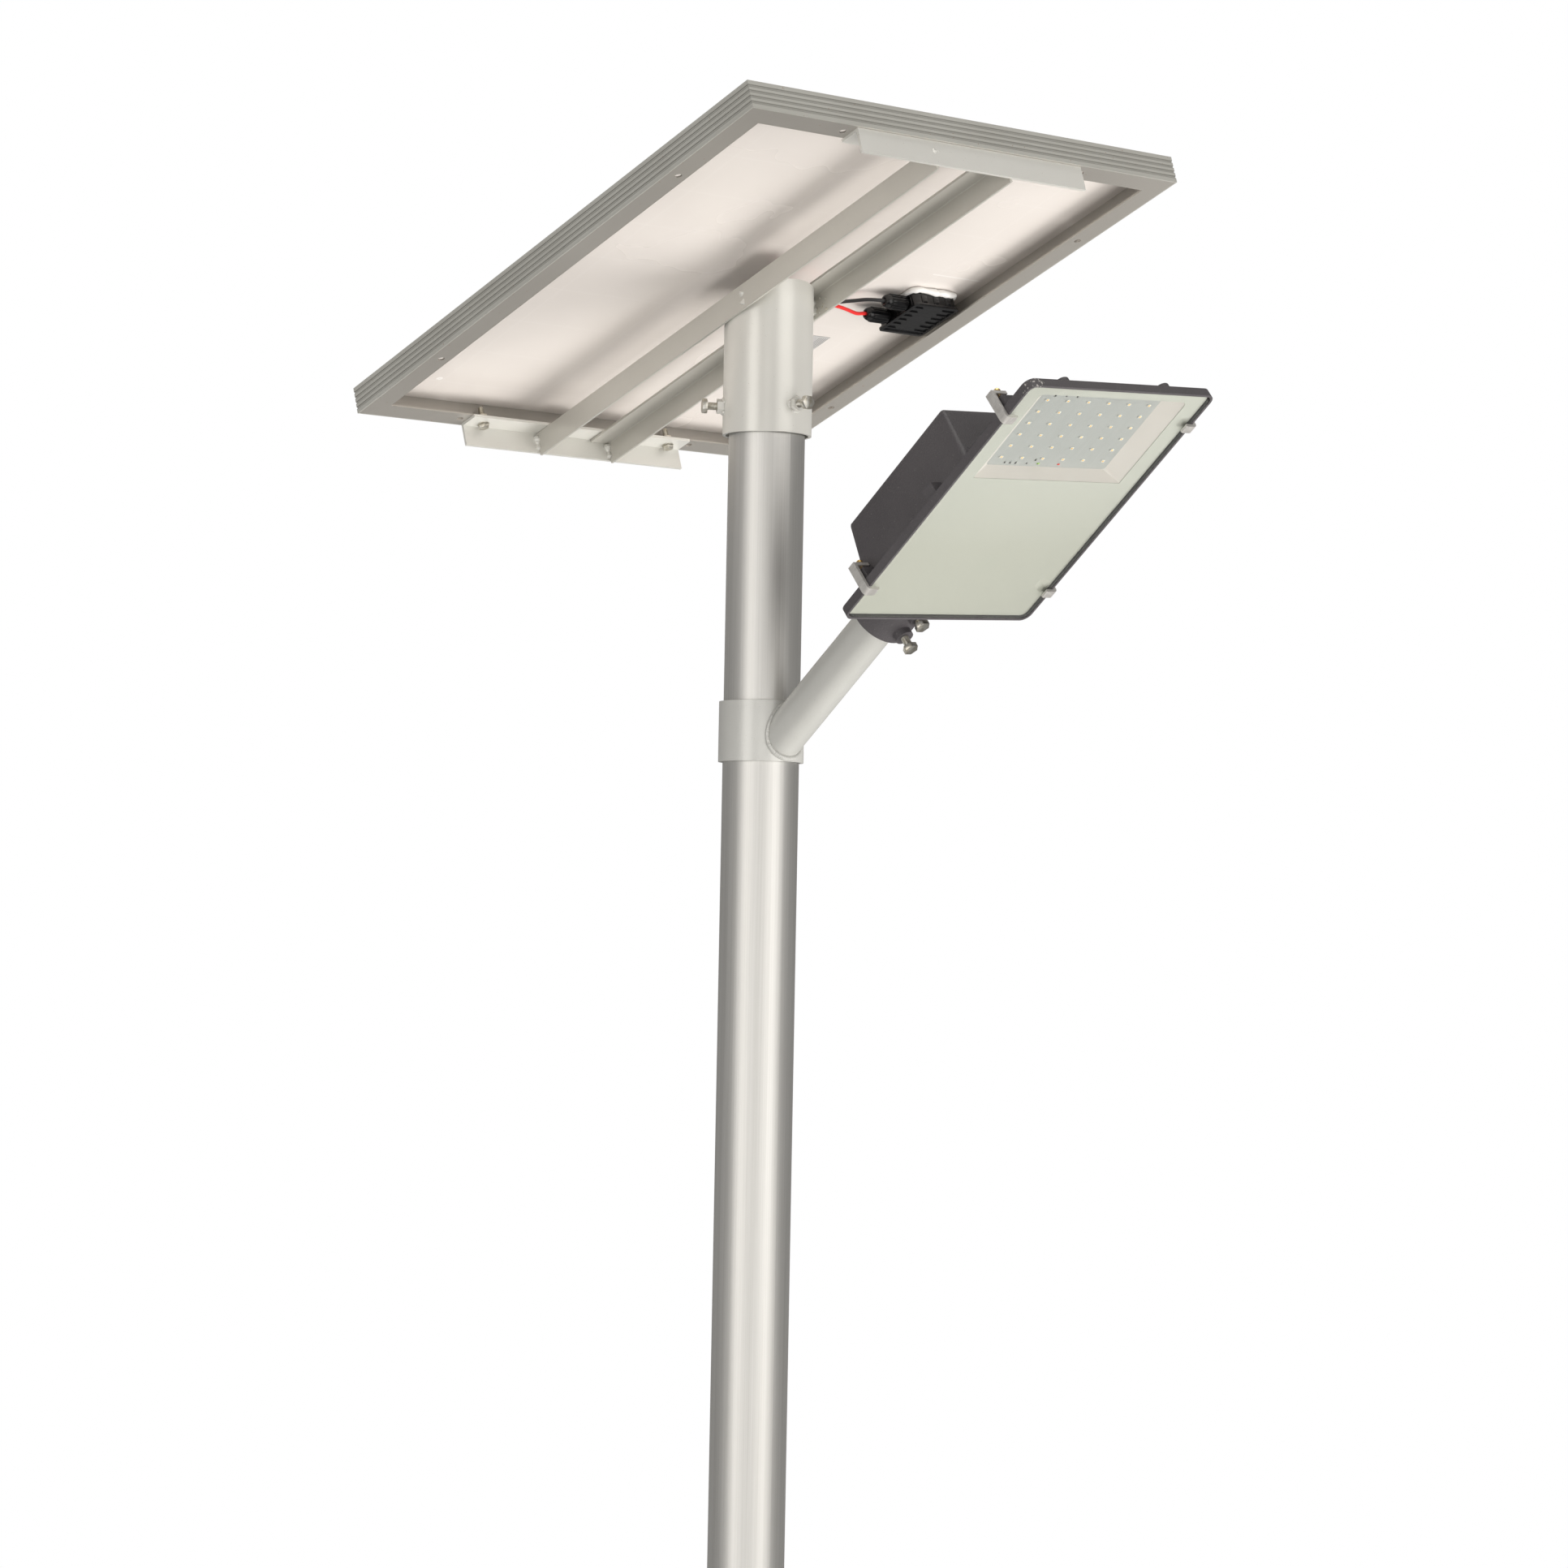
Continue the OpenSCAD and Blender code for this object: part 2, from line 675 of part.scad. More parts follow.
// Lamp casting
module lamp_housing() {
    color([0.31, 0.3, 0.3]) in_lamp() difference() {
        housing_outside();
        housing_inside();
    }
}
module housing_outside() {
    plate(0, lamp_len, lamp_w / 2, rim_round, 0, rim_h);
    hull() {
        plate(box_start - 10, box_end + 4, box_half + box_flare, 6, rim_h - over, over, $fn = 32);
        plate(box_start, box_end, box_half, 4, box_h - 2, 0.1, $fn = 32);
        plate(box_start + 1, box_end - 1, box_half - 1, 3, box_h - 0.1, 0.1, $fn = 32);
    }
    hull() {
        plate(box_end - 20, lamp_len - 5, lamp_w / 2 - 7, 10, rim_h - over, over, $fn = 32);
        plate(box_end - 20, lamp_len - 13, lamp_w / 2 - 13, 10, pan_top - 4, 0.1, $fn = 32);
        plate(box_end - 20, lamp_len - 19, lamp_w / 2 - 19, 10, pan_top - 0.1, 0.1, $fn = 32);
    }
    for (i = [0 : fin_count - 1]) translate([box_end + 5 + i * fin_pitch, 20 - lamp_w / 2, pan_top - over])
        cube([fin_t, lamp_w - 40, over + fin_h - 0.9 * i]);
    translate([-spigot_out, 0, spigot_rise]) along_x(spigot_d / 2, spigot_out + box_start);
    hull() {
        translate([-6, 0, spigot_rise]) along_x(spigot_d / 2, 1, $fn = 32);
        translate([box_start - 4, -44, rim_h]) cube([8, 88, box_h - rim_h - 8]);
    }
    for (x = spigot_bolt_x) translate([x, 0, spigot_low - boss_len])
        cylinder(r = boss_r, h = boss_len + 8);
    for (x = [clamp_x[0], lamp_len / 2, clamp_x[1]], side = [-1, 1])
        translate([x - lug_w / 2, side > 0 ? lamp_w / 2 - 22 : 2 - lamp_w / 2, rim_h - over])
            cube([lug_w, 20, over + lug_h - rim_h]);
    for (y = [-65, 65]) translate([lamp_len - 11, y, rim_h - over]) cylinder(r = 8, h = 8);
}
module housing_inside() {
    pocket = glass_inset - glass_clear;
    plate(pocket, lamp_len - pocket, lamp_w / 2 - pocket, glass_round, -over, pocket_h + over);
    plate(ledge_w, lamp_len - ledge_w, lamp_w / 2 - ledge_w, glass_round, 0, pocket_h + 0.5);
    hull() {
        plate(box_start, box_end - cast_wall, box_half, 10, pocket_h, 0.1, $fn = 32);
        plate(box_start + 5, box_end - cast_wall, box_half - cast_wall, 7, box_h - cast_wall - 0.1, 0.1,
            $fn = 32);
    }
    hull() {
        plate(box_end - 30, lamp_len - ledge_w, lamp_w / 2 - ledge_w - 3, 8, pocket_h, 0.1, $fn = 32);
        plate(box_end - 30, lamp_len - ledge_w - 5, lamp_w / 2 - ledge_w - 10, 8, board_z + board_t, 0.1,
            $fn = 32);
    }
    translate([-spigot_out - over, 0, spigot_rise])
        along_x(arm_r + spigot_clear, spigot_out + box_start + 10);
    for (x = spigot_bolt_x) translate([x, 0, spigot_low - boss_len - over])
        cylinder(r = bolt_r + bolt_fit, h = spigot_rise - spigot_low + boss_len);
}
module gasket() {
    inner = ledge_w - 1;
    color([0.1, 0.1, 0.1]) in_lamp() difference() {
        plate(glass_inset, lamp_len - glass_inset, lamp_w / 2 - glass_inset, glass_round, glass_t, gasket_t);
        plate(inner, lamp_len - inner, lamp_w / 2 - inner, 6, glass_t - over, gasket_t + 2 * over);
    }
}
module glass_outline(z, h) {
    plate(glass_inset, lamp_len - glass_inset, lamp_w / 2 - glass_inset, glass_round, z, h);
}
// The clear window: its far corners are round and its near corners square
module window(grow, z, h) {
    near = window_x - window_len / 2 - grow;
    half = window_w / 2 + grow;
    translate([0, 0, z]) linear_extrude(h) {
        rounded(near, window_x + window_len / 2 + grow, half, window_round);
        translate([near, -half]) square([window_round, 2 * half]);
    }
}
module cover_glass() {
    color([0.85, 0.92, 0.88, 0.35]) in_lamp() glass_outline(0, glass_t - print_t);
}
module glass_print() {
    color([0.78, 0.8, 0.74]) in_lamp() difference() {
        glass_outline(glass_t - print_t, print_t);
        window(0, 0, 2 * glass_t);
    }
}
// White funnel from the window to the LED board
module funnel(grow) {
    hull() {
        window(grow, glass_t, 0.1, $fn = 32);
        plate(window_x - board_len / 2 - grow, window_x + board_len / 2 + grow, board_w / 2 + grow, 3,
            board_z - 0.1, 0.1, $fn = 32);
    }
}
module reflector() {
    far = lamp_len - ledge_w - 0.3;
    color([0.95, 0.95, 0.94]) in_lamp() difference() {
        union() {
            funnel(1.2);
            plate(window_x - window_len / 2 - 6, far, window_w / 2 + 8, 6, glass_t, 1.5);
        }
        funnel(0);
        window(0, glass_t - over, over + 0.1);
    }
}
module led_board() {
    color([0.78, 0.79, 0.8]) in_lamp() translate([
        window_x - board_len / 2 - board_edge, -board_w / 2 - board_edge, board_z
    ]) cube([board_len + 2 * board_edge, board_w + 2 * board_edge, board_t]);
}
module leds() {
    color([0.95, 0.9, 0.7]) in_lamp() for (i = [0 : led_rows - 1], j = [0 : led_cols - 1]) translate([
        window_x + (i - (led_rows - 1) / 2) * led_row_pitch - 1.4,
        (j - (led_cols - 1) / 2) * led_col_pitch - 1.75, board_z - 0.8
    ]) cube([2.8, 3.5, 0.8]);
}
module signal_leds() {
    color([0.6, 0.8, 0.3]) in_lamp() for (side = [-1, 1])
        translate([window_x - board_len / 2 + 3.5, side * led_col_pitch / 2 - 1.5, board_z - 0.8])
            cube([1.6, 3, 0.8]);
}

// Inside the box: battery, controller and cable
module battery_pack() {
    cell_r = 16;
    x0 = box_start + 62;
    top = box_h - cast_wall - 0.1;
    color([0.1, 0.25, 0.6]) in_lamp() for (i = [0 : 2]) translate([x0 + i * 2 * cell_r, 72, top - cell_r]) {
        rotate([90, 0, 0]) cylinder(r = cell_r - 0.15, h = 144);
        if (i < 2) translate([0, -144, -10]) cube([2 * cell_r, 144, 20]);
    }
}
module charge_controller() {
    top = box_h - cast_wall - 0.1;
    color([0.15, 0.3, 0.2]) in_lamp() translate([box_start + 10, -45, top - 32]) {
        cube([34, 90, 32]);
        translate([4, 8, -6]) cube([12, 74, 6]);
    }
}
module lamp_cable() {
    start = arm_cable_end - lamp_start + bear_gap;
    color([0.08, 0.08, 0.08]) in_lamp() translate([start, 0, spigot_rise])
        along_x(cable_d / 2, box_start + 10 - start);
}
module spigot_bolt(i) {
    seat = spigot_rise - spigot_low + boss_len + spigot_bolt_gap[i];
    color([0.6, 0.57, 0.5]) in_lamp() translate([spigot_bolt_x[i], 0, spigot_rise]) rotate([0, 90, 0])
        hex_bolt(arm_r + bear_gap, seat);
}

// Glass clamps: an extruded C that hooks the glass to a lug, with a thumb screw that bears on the lug
module clamp_profile() {
    half = lamp_w / 2;
    low = -bear_gap - clamp_t;
    high = clamp_leg_z + clamp_t;
    difference() {
        union() {
            translate([half - clamp_lip, low]) square([clamp_lip + bear_gap + 0.3, clamp_t]);
            translate([half - clamp_lip, low + clamp_t / 2]) circle(r = clamp_t / 2);
            translate([half + bear_gap, low]) square([clamp_t, high - low]);
            translate([half - clamp_leg, clamp_leg_z]) square([clamp_leg + bear_gap + clamp_t, clamp_t]);
        }
        translate([half + bear_gap + clamp_t - clamp_corner, low]) difference() {
            translate([0, -over]) square([clamp_corner + over, clamp_corner + over]);
            translate([0, clamp_corner]) circle(r = clamp_corner);
        }
    }
}
module at_clamp(i) {
    in_lamp() translate([clamp_x[i], 0, 0]) mirror([0, clamp_side[i] < 0 ? 1 : 0, 0]) children();
}
module clamp(i) {
    color([0.75, 0.74, 0.72]) at_clamp(i) difference() {
        translate([-clamp_len / 2, 0, 0]) rotate([90, 0, 90]) linear_extrude(clamp_len) clamp_profile();
        translate([0, lamp_w / 2 - 9, lug_h]) cylinder(r = clamp_screw_r + bolt_fit, h = 20, $fn = 48);
    }
}
module clamp_screw(i) {
    color([0.72, 0.55, 0.25]) at_clamp(i) translate([0, lamp_w / 2 - 9, 0]) {
        translate([0, 0, lug_h + bear_gap])
            cylinder(r = clamp_screw_r, h = clamp_leg_z + clamp_t - lug_h - bear_gap, $fn = 48);
        difference() {
            translate([0, 0, clamp_leg_z + clamp_t + 2.6]) sphere(r = 3.4, $fn = 48);
            translate([-5, -5, clamp_leg_z]) cube([10, 10, clamp_t]);
            translate([0, 0, clamp_leg_z + clamp_t + 3.6]) hexagon(2.5, 5);
        }
    }
}

pole_tube();
base_plate();
gussets();
pole_cable();
sleeve();
sleeve_nuts();
rail_left();
rail_right();
cross_low();
cross_high();
panel_bolts();
panel_nuts();
frame_low();
frame_high();
frame_left();
frame_right();
panel_glass();
solar_cells();
backsheet();
junction_box();
junction_lid();
gland_red();
gland_black();
sealant();
panel_label();
pv_lead_red();
pv_lead_black();
head_cable();
sleeve_bolt(0);  // sleeve_bolt_1
sleeve_bolt(1);  // sleeve_bolt_2
sleeve_bolt(2);  // sleeve_bolt_3
collar();
collar_nut();
arm_tube();
arm_cable();
collar_bolt();
lamp_housing();
gasket();
cover_glass();
glass_print();
reflector();
led_board();
leds();
signal_leds();
battery_pack();
charge_controller();
lamp_cable();
spigot_bolt(0);  // spigot_bolt_1
spigot_bolt(1);  // spigot_bolt_2
clamp(0);  // clamp_1
clamp(1);  // clamp_2
clamp(2);  // clamp_3
clamp(3);  // clamp_4
clamp_screw(0);  // clamp_screw_1
clamp_screw(1);  // clamp_screw_2
clamp_screw(2);  // clamp_screw_3
clamp_screw(3);  // clamp_screw_4
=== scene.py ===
import json
import math
import random

import bmesh
import bpy
from mathutils import Euler, Matrix, Vector


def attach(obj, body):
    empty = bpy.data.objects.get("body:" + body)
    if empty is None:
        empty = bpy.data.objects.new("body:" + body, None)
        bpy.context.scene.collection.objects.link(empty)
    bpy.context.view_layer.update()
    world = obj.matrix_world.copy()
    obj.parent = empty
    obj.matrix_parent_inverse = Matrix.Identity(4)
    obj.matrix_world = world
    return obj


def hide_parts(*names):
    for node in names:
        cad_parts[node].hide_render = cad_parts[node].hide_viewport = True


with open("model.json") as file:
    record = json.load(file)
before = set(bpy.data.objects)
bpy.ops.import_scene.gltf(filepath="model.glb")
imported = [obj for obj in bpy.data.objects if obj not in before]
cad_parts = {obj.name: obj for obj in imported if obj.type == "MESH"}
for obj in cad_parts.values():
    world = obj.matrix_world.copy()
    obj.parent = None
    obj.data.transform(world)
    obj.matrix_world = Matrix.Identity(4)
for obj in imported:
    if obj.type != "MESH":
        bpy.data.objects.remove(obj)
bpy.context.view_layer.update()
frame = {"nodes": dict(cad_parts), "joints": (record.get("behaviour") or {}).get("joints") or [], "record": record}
scene = bpy.context.scene
scene.view_settings.view_transform = "Standard"
nodes = frame["nodes"]
mm = 0.001
print("frame loaded:", len(nodes), "nodes")

# The camera stands a little under the lamp and looks slightly up
cameraLook = {
    "place": (3.424, -2.713, 2.333),
    "azimuth": 51.30,
    "pitch": 2.65,
    "roll": 1.06,
    "lens": 101.05,
    "sensor": 36,
}


def addCamera(look):
    camera = bpy.data.objects.new("camera", bpy.data.cameras.new("camera"))
    camera.data.lens = look["lens"]
    camera.data.sensor_width = look["sensor"]
    camera.data.clip_end = 100
    aimed = Euler((math.radians(90 + look["pitch"]), 0, math.radians(look["azimuth"])))
    turn = aimed.to_matrix().to_4x4()
    roll = Matrix.Rotation(math.radians(look["roll"]), 4, "Z")
    camera.matrix_world = Matrix.Translation(look["place"]) @ turn @ roll
    scene.collection.objects.link(camera)
    scene.camera = camera


addCamera(cameraLook)
print("camera placed")

# Three frames that the pieces are built in, from the record's mounts and joints
mounts = {m["name"]: m for m in frame["record"]["mounts"]}
joints = {j["name"]: j for j in frame["joints"]}
frameDepth = 28 * mm
windowX = 252 * mm


def axesMatrix(x, y, z, origin):
    made = Matrix((x, y, z)).transposed().to_4x4()
    made.translation = origin
    return made


def panelMatrix():
    n = Vector(mounts["sun_side"]["axis"])
    u = Vector((n.z, 0, -n.x))
    return axesMatrix(u, n.cross(u), n, Vector(mounts["sun_side"]["pos_m"]) - frameDepth * n)


def armMatrix():
    x = Vector(joints["lamp_roll"]["axis"])
    at = Vector(joints["lamp_roll"]["pos_m"])
    y = Vector((0, 1, 0))
    return axesMatrix(x, y, x.cross(y), at - x * (at.x / x.x))


def lampMatrix():
    x = Vector(joints["lamp_roll"]["axis"])
    z = -Vector(mounts["light_window"]["axis"])
    return axesMatrix(x, z.cross(x), z, Vector(mounts["light_window"]["pos_m"]) - windowX * x)


inPanel = panelMatrix()
inArm = armMatrix()
inLamp = lampMatrix()
upright = Matrix.Identity(4)


# Shader sockets as values: sums and products of them add Math nodes
class Wire:
    def __init__(self, sheet, socket):
        self.sheet = sheet
        self.socket = socket

    def worked(self, operation, first, second=0.0):
        return self.sheet.node("Math", {"operation": operation}, {0: first, 1: second})

    def __add__(self, other):
        return self.worked("ADD", self, other)

    def __radd__(self, other):
        return self.worked("ADD", other, self)

    def __sub__(self, other):
        return self.worked("SUBTRACT", self, other)

    def __rsub__(self, other):
        return self.worked("SUBTRACT", other, self)

    def __mul__(self, other):
        return self.worked("MULTIPLY", self, other)

    def __rmul__(self, other):
        return self.worked("MULTIPLY", other, self)

    def __gt__(self, other):
        return self.worked("GREATER_THAN", self, other)

    def __lt__(self, other):
        return self.worked("LESS_THAN", self, other)

    def wrapped(self, size):
        return self.worked("FLOORED_MODULO", self, size)

    def away(self, middle):
        return self.worked("ABSOLUTE", self - middle)


# One material's sheet of nodes
class Sheet:
    def __init__(self, name):
        self.material = bpy.data.materials.new(name)
        self.material.use_nodes = True
        self.tree = self.material.node_tree
        self.tree.nodes.clear()
        self.output = self.tree.nodes.new("ShaderNodeOutputMaterial")

    def node(self, kind, settings=None, inputs=None, outlet=0):
        made = self.tree.nodes.new("ShaderNode" + kind)
        for name, value in (settings or {}).items():
            if name == "stops":
                self.setStops(made.color_ramp, value)
            else:
                setattr(made, name, value)
        for name, value in (inputs or {}).items():
            socket = made.inputs[name]
            if isinstance(value, Wire):
                self.tree.links.new(value.socket, socket)
            else:
                socket.default_value = value
        return Wire(self, made.outputs[outlet])

    def setStops(self, ramp, stops):
        while len(ramp.elements) < len(stops):
            ramp.elements.new(0.5)
        for element, (at, shade) in zip(ramp.elements, stops):
            element.position = at
            element.color = (shade, shade, shade, 1)

    # Object coordinates, turned into one of the frames and stretched
    def coordinates(self, place=upright, stretch=(1, 1, 1)):
        back = place.inverted()
        at = self.node("TexCoord", outlet="Object")
        at = self.node("Mapping", None, {0: at, 1: back.translation, 2: back.to_euler()})
        if stretch == (1, 1, 1):
            return at
        return self.node("VectorMath", {"operation": "MULTIPLY"}, {0: at, 1: stretch})

    def noise(self, at, scale, detail=2, rough=0.5):
        values = {"Vector": at, "Scale": scale, "Detail": detail, "Roughness": rough}
        return self.node("TexNoise", None, values)

    def ramp(self, factor, stops):
        return self.node("ValToRGB", {"stops": stops}, {0: factor})

    def mix(self, factor, first, second):
        return self.node("Mix", {"data_type": "RGBA"}, {0: factor, 6: first, 7: second}, 2)

    def bump(self, height, distance, strength=1.0):
        return self.node("Bump", None, {"Height": height, "Distance": distance, "Strength": strength})

    def split(self, at):
        return [self.node("SeparateXYZ", None, {0: at}, axis) for axis in range(3)]

    def specks(self, at, scale, share):
        dots = self.node("TexVoronoi", None, {"Vector": at, "Scale": scale})
        patches = self.noise(at, scale * 0.31, 1)
        return (dots < 0.16) * (patches > 1 - share)

    def principled(self, values):
        return self.node("BsdfPrincipled", None, values)

    def finish(self, shader):
        self.tree.links.new(shader.socket, self.output.inputs["Surface"])
        return self.material


def colour(red, green, blue):
    return (red, green, blue, 1)


# Pole: drawn metal with streaks along its length
def poleMetal():
    look = {
        "base": colour(0.86, 0.85, 0.825),
        "dull": colour(0.76, 0.75, 0.72),
        "rough": 0.43,
        "spread": 0.12,
    }
    s = Sheet("poleMetal")
    fine = s.noise(s.coordinates(stretch=(1, 1, 0.004)), 900, 3, 0.6)
    broad = s.noise(s.coordinates(stretch=(1, 1, 0.01)), 140, 2, 0.5)
    streak = fine * 0.55 + broad * 0.45
    shade = s.ramp(streak, [(0.36, 0.0), (0.62, 1.0)])
    return s.finish(s.principled({
        "Base Color": s.mix(shade, look["dull"], look["base"]),
        "Metallic": 1.0,
        "Roughness": look["rough"] + streak * look["spread"],
        "Normal": s.bump(streak, 0.00003, 0.4),
    }))


# Light grey powder coat: satin, with a fine orange peel and a few specks
def powderCoat(name, base, dark, rough, peel, scale):
    s = Sheet(name)
    at = s.coordinates()
    peelHeight = s.noise(at, scale, 3, 0.6)
    cloud = s.noise(at, 14, 3, 0.55)
    grain = s.noise(at, scale * 2.3, 1)
    dirt = s.specks(at, 520, 0.33)
    shade = s.ramp(cloud * 0.6 + grain * 0.4, [(0.3, 0.0), (0.7, 1.0)])
    coat = s.mix(shade, dark, base)
    return s.finish(s.principled({
        "Base Color": s.mix(dirt * 0.5, coat, colour(0.30, 0.26, 0.21)),
        "Metallic": 0.32,
        "Roughness": rough + grain * 0.10,
        "Normal": s.bump(peelHeight, peel, 0.6),
        "Coat Weight": 0.25,
        "Coat Roughness": 0.22,
    }))


# Anodised extrusion, with fine lines along the bar and small rusty specks, and painted shade in the grooves, along
# their edges and on the inner faces and flange
def frameMetal(name, stretch):
    look = {
        "groove": 5.6 * mm,
        "grooveHalf": 1.15 * mm,
        "edge": 0.35 * mm,
        "half": (340 * mm, 266 * mm),
        "wall": (2.4 * mm, 25.6 * mm),
        "base": colour(0.66, 0.655, 0.61),
        "dark": colour(0.57, 0.56, 0.515),
        # flat darker colour, in the frame used as painted shade on the inner faces and the flange
        "dull": colour(0.40, 0.375, 0.345),
        "rust": colour(0.36, 0.19, 0.10),
        # painted shade: the near-black colour laid in the grooves and along their edges
        "soil": colour(0.16, 0.155, 0.14),
    }
    s = Sheet(name)
    lines = s.noise(s.coordinates(inPanel, stretch), 420, 3, 0.6)
    at = s.coordinates(inPanel)
    cloud = s.noise(at, 9, 3)
    rust = s.specks(at, 300, 0.33)
    marks = s.specks(at, 620, 0.34)
    shade = s.ramp(lines * 0.35 + cloud * 0.65, [(0.30, 0.0), (0.70, 1.0)])
    x, y, z = s.split(at)
    halfGroove = look["groove"] / 2
    groove = (z + halfGroove).wrapped(look["groove"]).away(halfGroove)
    outer = x.worked("MAXIMUM", x.away(0) - look["half"][0], y.away(0) - look["half"][1])
    onWall = (z > look["wall"][0]) * (z < look["wall"][1]) * (outer > -0.8 * mm)
    # Painted shade: the inner faces and flange, more than 1.4 mm inside the outer edge, are darkened
    shadedInside = outer < -1.4 * mm
    # Painted shade: the grooves and a thin band along their edges are darkened
    inGroove = (groove < look["grooveHalf"]) * onWall
    atEdge = (groove.away(look["grooveHalf"]) < look["edge"]) * onWall
    drawnAndShaded = s.mix(shadedInside * 0.75, s.mix(shade, look["dark"], look["base"]), look["dull"])
    metal = s.mix(marks * 0.4, drawnAndShaded, colour(0.7, 0.69, 0.66))
    # the painted groove shade is mixed in here
    grooveShaded = s.mix(atEdge * 0.45 + inGroove * 0.16, metal, look["soil"])
    return s.finish(s.principled({
        "Base Color": s.mix(rust * 0.75, grooveShaded, look["rust"]),
        "Metallic": 0.55,
        "Roughness": 0.34 + lines * 0.10,
        "Normal": s.bump(lines, 0.00003, 0.4),
    }))


# Zinc plated fasteners, slightly yellow and stained
def zincPlate():
    s = Sheet("zincPlate")
    at = s.coordinates()
    stain = s.noise(at, 260, 3, 0.65)
    shade = s.ramp(stain, [(0.35, 0.0), (0.68, 1.0)])
    return s.finish(s.principled({
        "Base Color": s.mix(shade, colour(0.58, 0.54, 0.45), colour(0.82, 0.81, 0.77)),
        "Metallic": 1.0,
        "Roughness": 0.22 + stain * 0.22,
        "Normal": s.bump(stain, 0.00006, 0.5),
    }))


# Backsheet: satin white film with the cells faintly outlined, one smear and one dab
def backsheetFilm():
    look = {
        "base": colour(0.76, 0.715, 0.68),
        "dark": colour(0.71, 0.665, 0.63),
        "row": 72.8 * mm,
        "column": 126.75 * mm,
        "line": 1.6 * mm,
        "smear": (62 * mm, 214 * mm),
        "smearHalf": (1.2 * mm, 34 * mm),
        "dab": (-286 * mm, -196 * mm),
        "dabRadius": 3.5 * mm,
    }
    s = Sheet("backsheetFilm")
    at = s.coordinates(inPanel)
    x, y = s.split(at)[:2]
    rowLine = (x + look["row"] / 2).wrapped(look["row"]).away(look["row"] / 2) < look["line"]
    columnLine = y.wrapped(look["column"]).away(look["column"] / 2) < look["line"]
    cloud = s.noise(at, 5, 3, 0.5)
    grain = s.noise(at, 700, 2)
    shade = s.ramp(cloud, [(0.3, 0.0), (0.7, 1.0)])
    film = s.mix(shade, look["dark"], look["base"])
    seen = (rowLine + columnLine) * 0.05
    across = x.away(look["smear"][0]) < look["smearHalf"][0]
    along = y.away(look["smear"][1]) < look["smearHalf"][1]
    streak = across * along * (s.noise(at, 90, 3) > 0.45)
    dabX = x - look["dab"][0]
    dabY = y - look["dab"][1]
    dab = (dabX * dabX + dabY * dabY < look["dabRadius"] ** 2) * (s.noise(at, 260, 2) > 0.40)
    seen = seen + streak * 0.5 + dab * 0.7
    return s.finish(s.principled({
        "Base Color": s.mix(seen, film, colour(0.90, 0.88, 0.86)),
        "Roughness": 0.20 + cloud * 0.12,
        "Normal": s.bump(grain, 0.00001, 0.2),
        "Coat Weight": 0.3,
        "Coat Roughness": 0.2,
    }))


# Dark silicon cells with printed fingers and three bright ribbons down each
def cellSilicon():
    look = {"column": 126.75 * mm, "ribbon": 0.7 * mm, "finger": 1.6 * mm}
    s = Sheet("cellSilicon")
    at = s.coordinates(inPanel)
    x, y = s.split(at)[:2]
    ribbonPitch = look["column"] / 3
    ribbon = y.wrapped(ribbonPitch).away(ribbonPitch / 2) < look["ribbon"]
    finger = x.wrapped(look["finger"]).away(look["finger"] / 2) < look["finger"] * 0.06
    tone = s.noise(at, 16, 2)
    silicon = s.mix(tone, colour(0.008, 0.012, 0.035), colour(0.014, 0.022, 0.062))
    printed = s.mix(finger * 0.55, silicon, colour(0.30, 0.32, 0.36))
    return s.finish(s.principled({
        "Base Color": s.mix(ribbon, printed, colour(0.62, 0.63, 0.64)),
        "Metallic": ribbon * 0.8,
        "Roughness": 0.30 + tone * 0.08,
    }))


# Clear sheet: see-through, with a gloss that grows towards grazing angles
def clearGlass(name, tint, gloss, grazing):
    look = {"facing": 0.04, "steepness": 5.0}
    s = Sheet(name)
    ripple = s.noise(s.coordinates(), 30, 2)
    bump = s.bump(ripple, 0.00003, 0.3)
    tilt = s.node("LayerWeight", None, {"Blend": 0.5}, "Facing")
    factor = tilt.worked("POWER", tilt, look["steepness"]) * grazing + look["facing"]
    clear = s.node("BsdfTransparent", None, {"Color": tint})
    shine = s.principled({
        "Base Color": colour(0.9, 0.95, 0.92),
        "Metallic": 1.0,
        "Roughness": gloss,
        "Normal": bump,
    })
    return s.finish(s.node("MixShader", None, {0: factor, 1: clear, 2: shine}))


# Foil label with a few plain bars, a plain dot and dark ends
def labelFoil():
    look = {
        "middle": (-109 * mm, 159 * mm),
        "barPitch": 2.6 * mm,
        "bar": 0.7 * mm,
        "barHalf": 11.5 * mm,
        "dotAt": 6.2 * mm,
        "dot": 2.8 * mm,
        "endAt": 14.5 * mm,
    }
    s = Sheet("labelFoil")
    x, y = s.split(s.coordinates(inPanel))[:2]
    across = x.away(look["middle"][0])
    down = y - look["middle"][1]
    bars = (y.wrapped(look["barPitch"]) < look["bar"]) * (across < look["barHalf"]) * (down > -1 * mm)
    fromDot = down + look["dotAt"]
    spot = across * across + fromDot * fromDot < look["dot"] ** 2
    edge = across > look["endAt"]
    grain = s.noise(s.coordinates(), 900, 2)
    ink = s.mix(bars * 0.7 + spot + edge * 0.3, colour(0.58, 0.57, 0.56), colour(0.10, 0.10, 0.10))
    return s.finish(s.principled({"Base Color": ink, "Metallic": 0.25, "Roughness": 0.30 + grain * 0.1}))


# Moulded black plastic with a fine spark-eroded grain
def mouldedBlack(name, base, rough):
    s = Sheet(name)
    at = s.coordinates()
    grain = s.noise(at, 1500, 2)
    wear = s.noise(at, 60, 3)
    shade = s.ramp(wear, [(0.4, 0.0), (0.75, 1.0)])
    light = colour(base[0] * 2.2, base[1] * 2.2, base[2] * 2.2)
    return s.finish(s.principled({
        "Base Color": s.mix(shade * 0.5, base, light),
        "Roughness": rough + wear * 0.15,
        "Normal": s.bump(grain, 0.00008, 0.5),
    }))


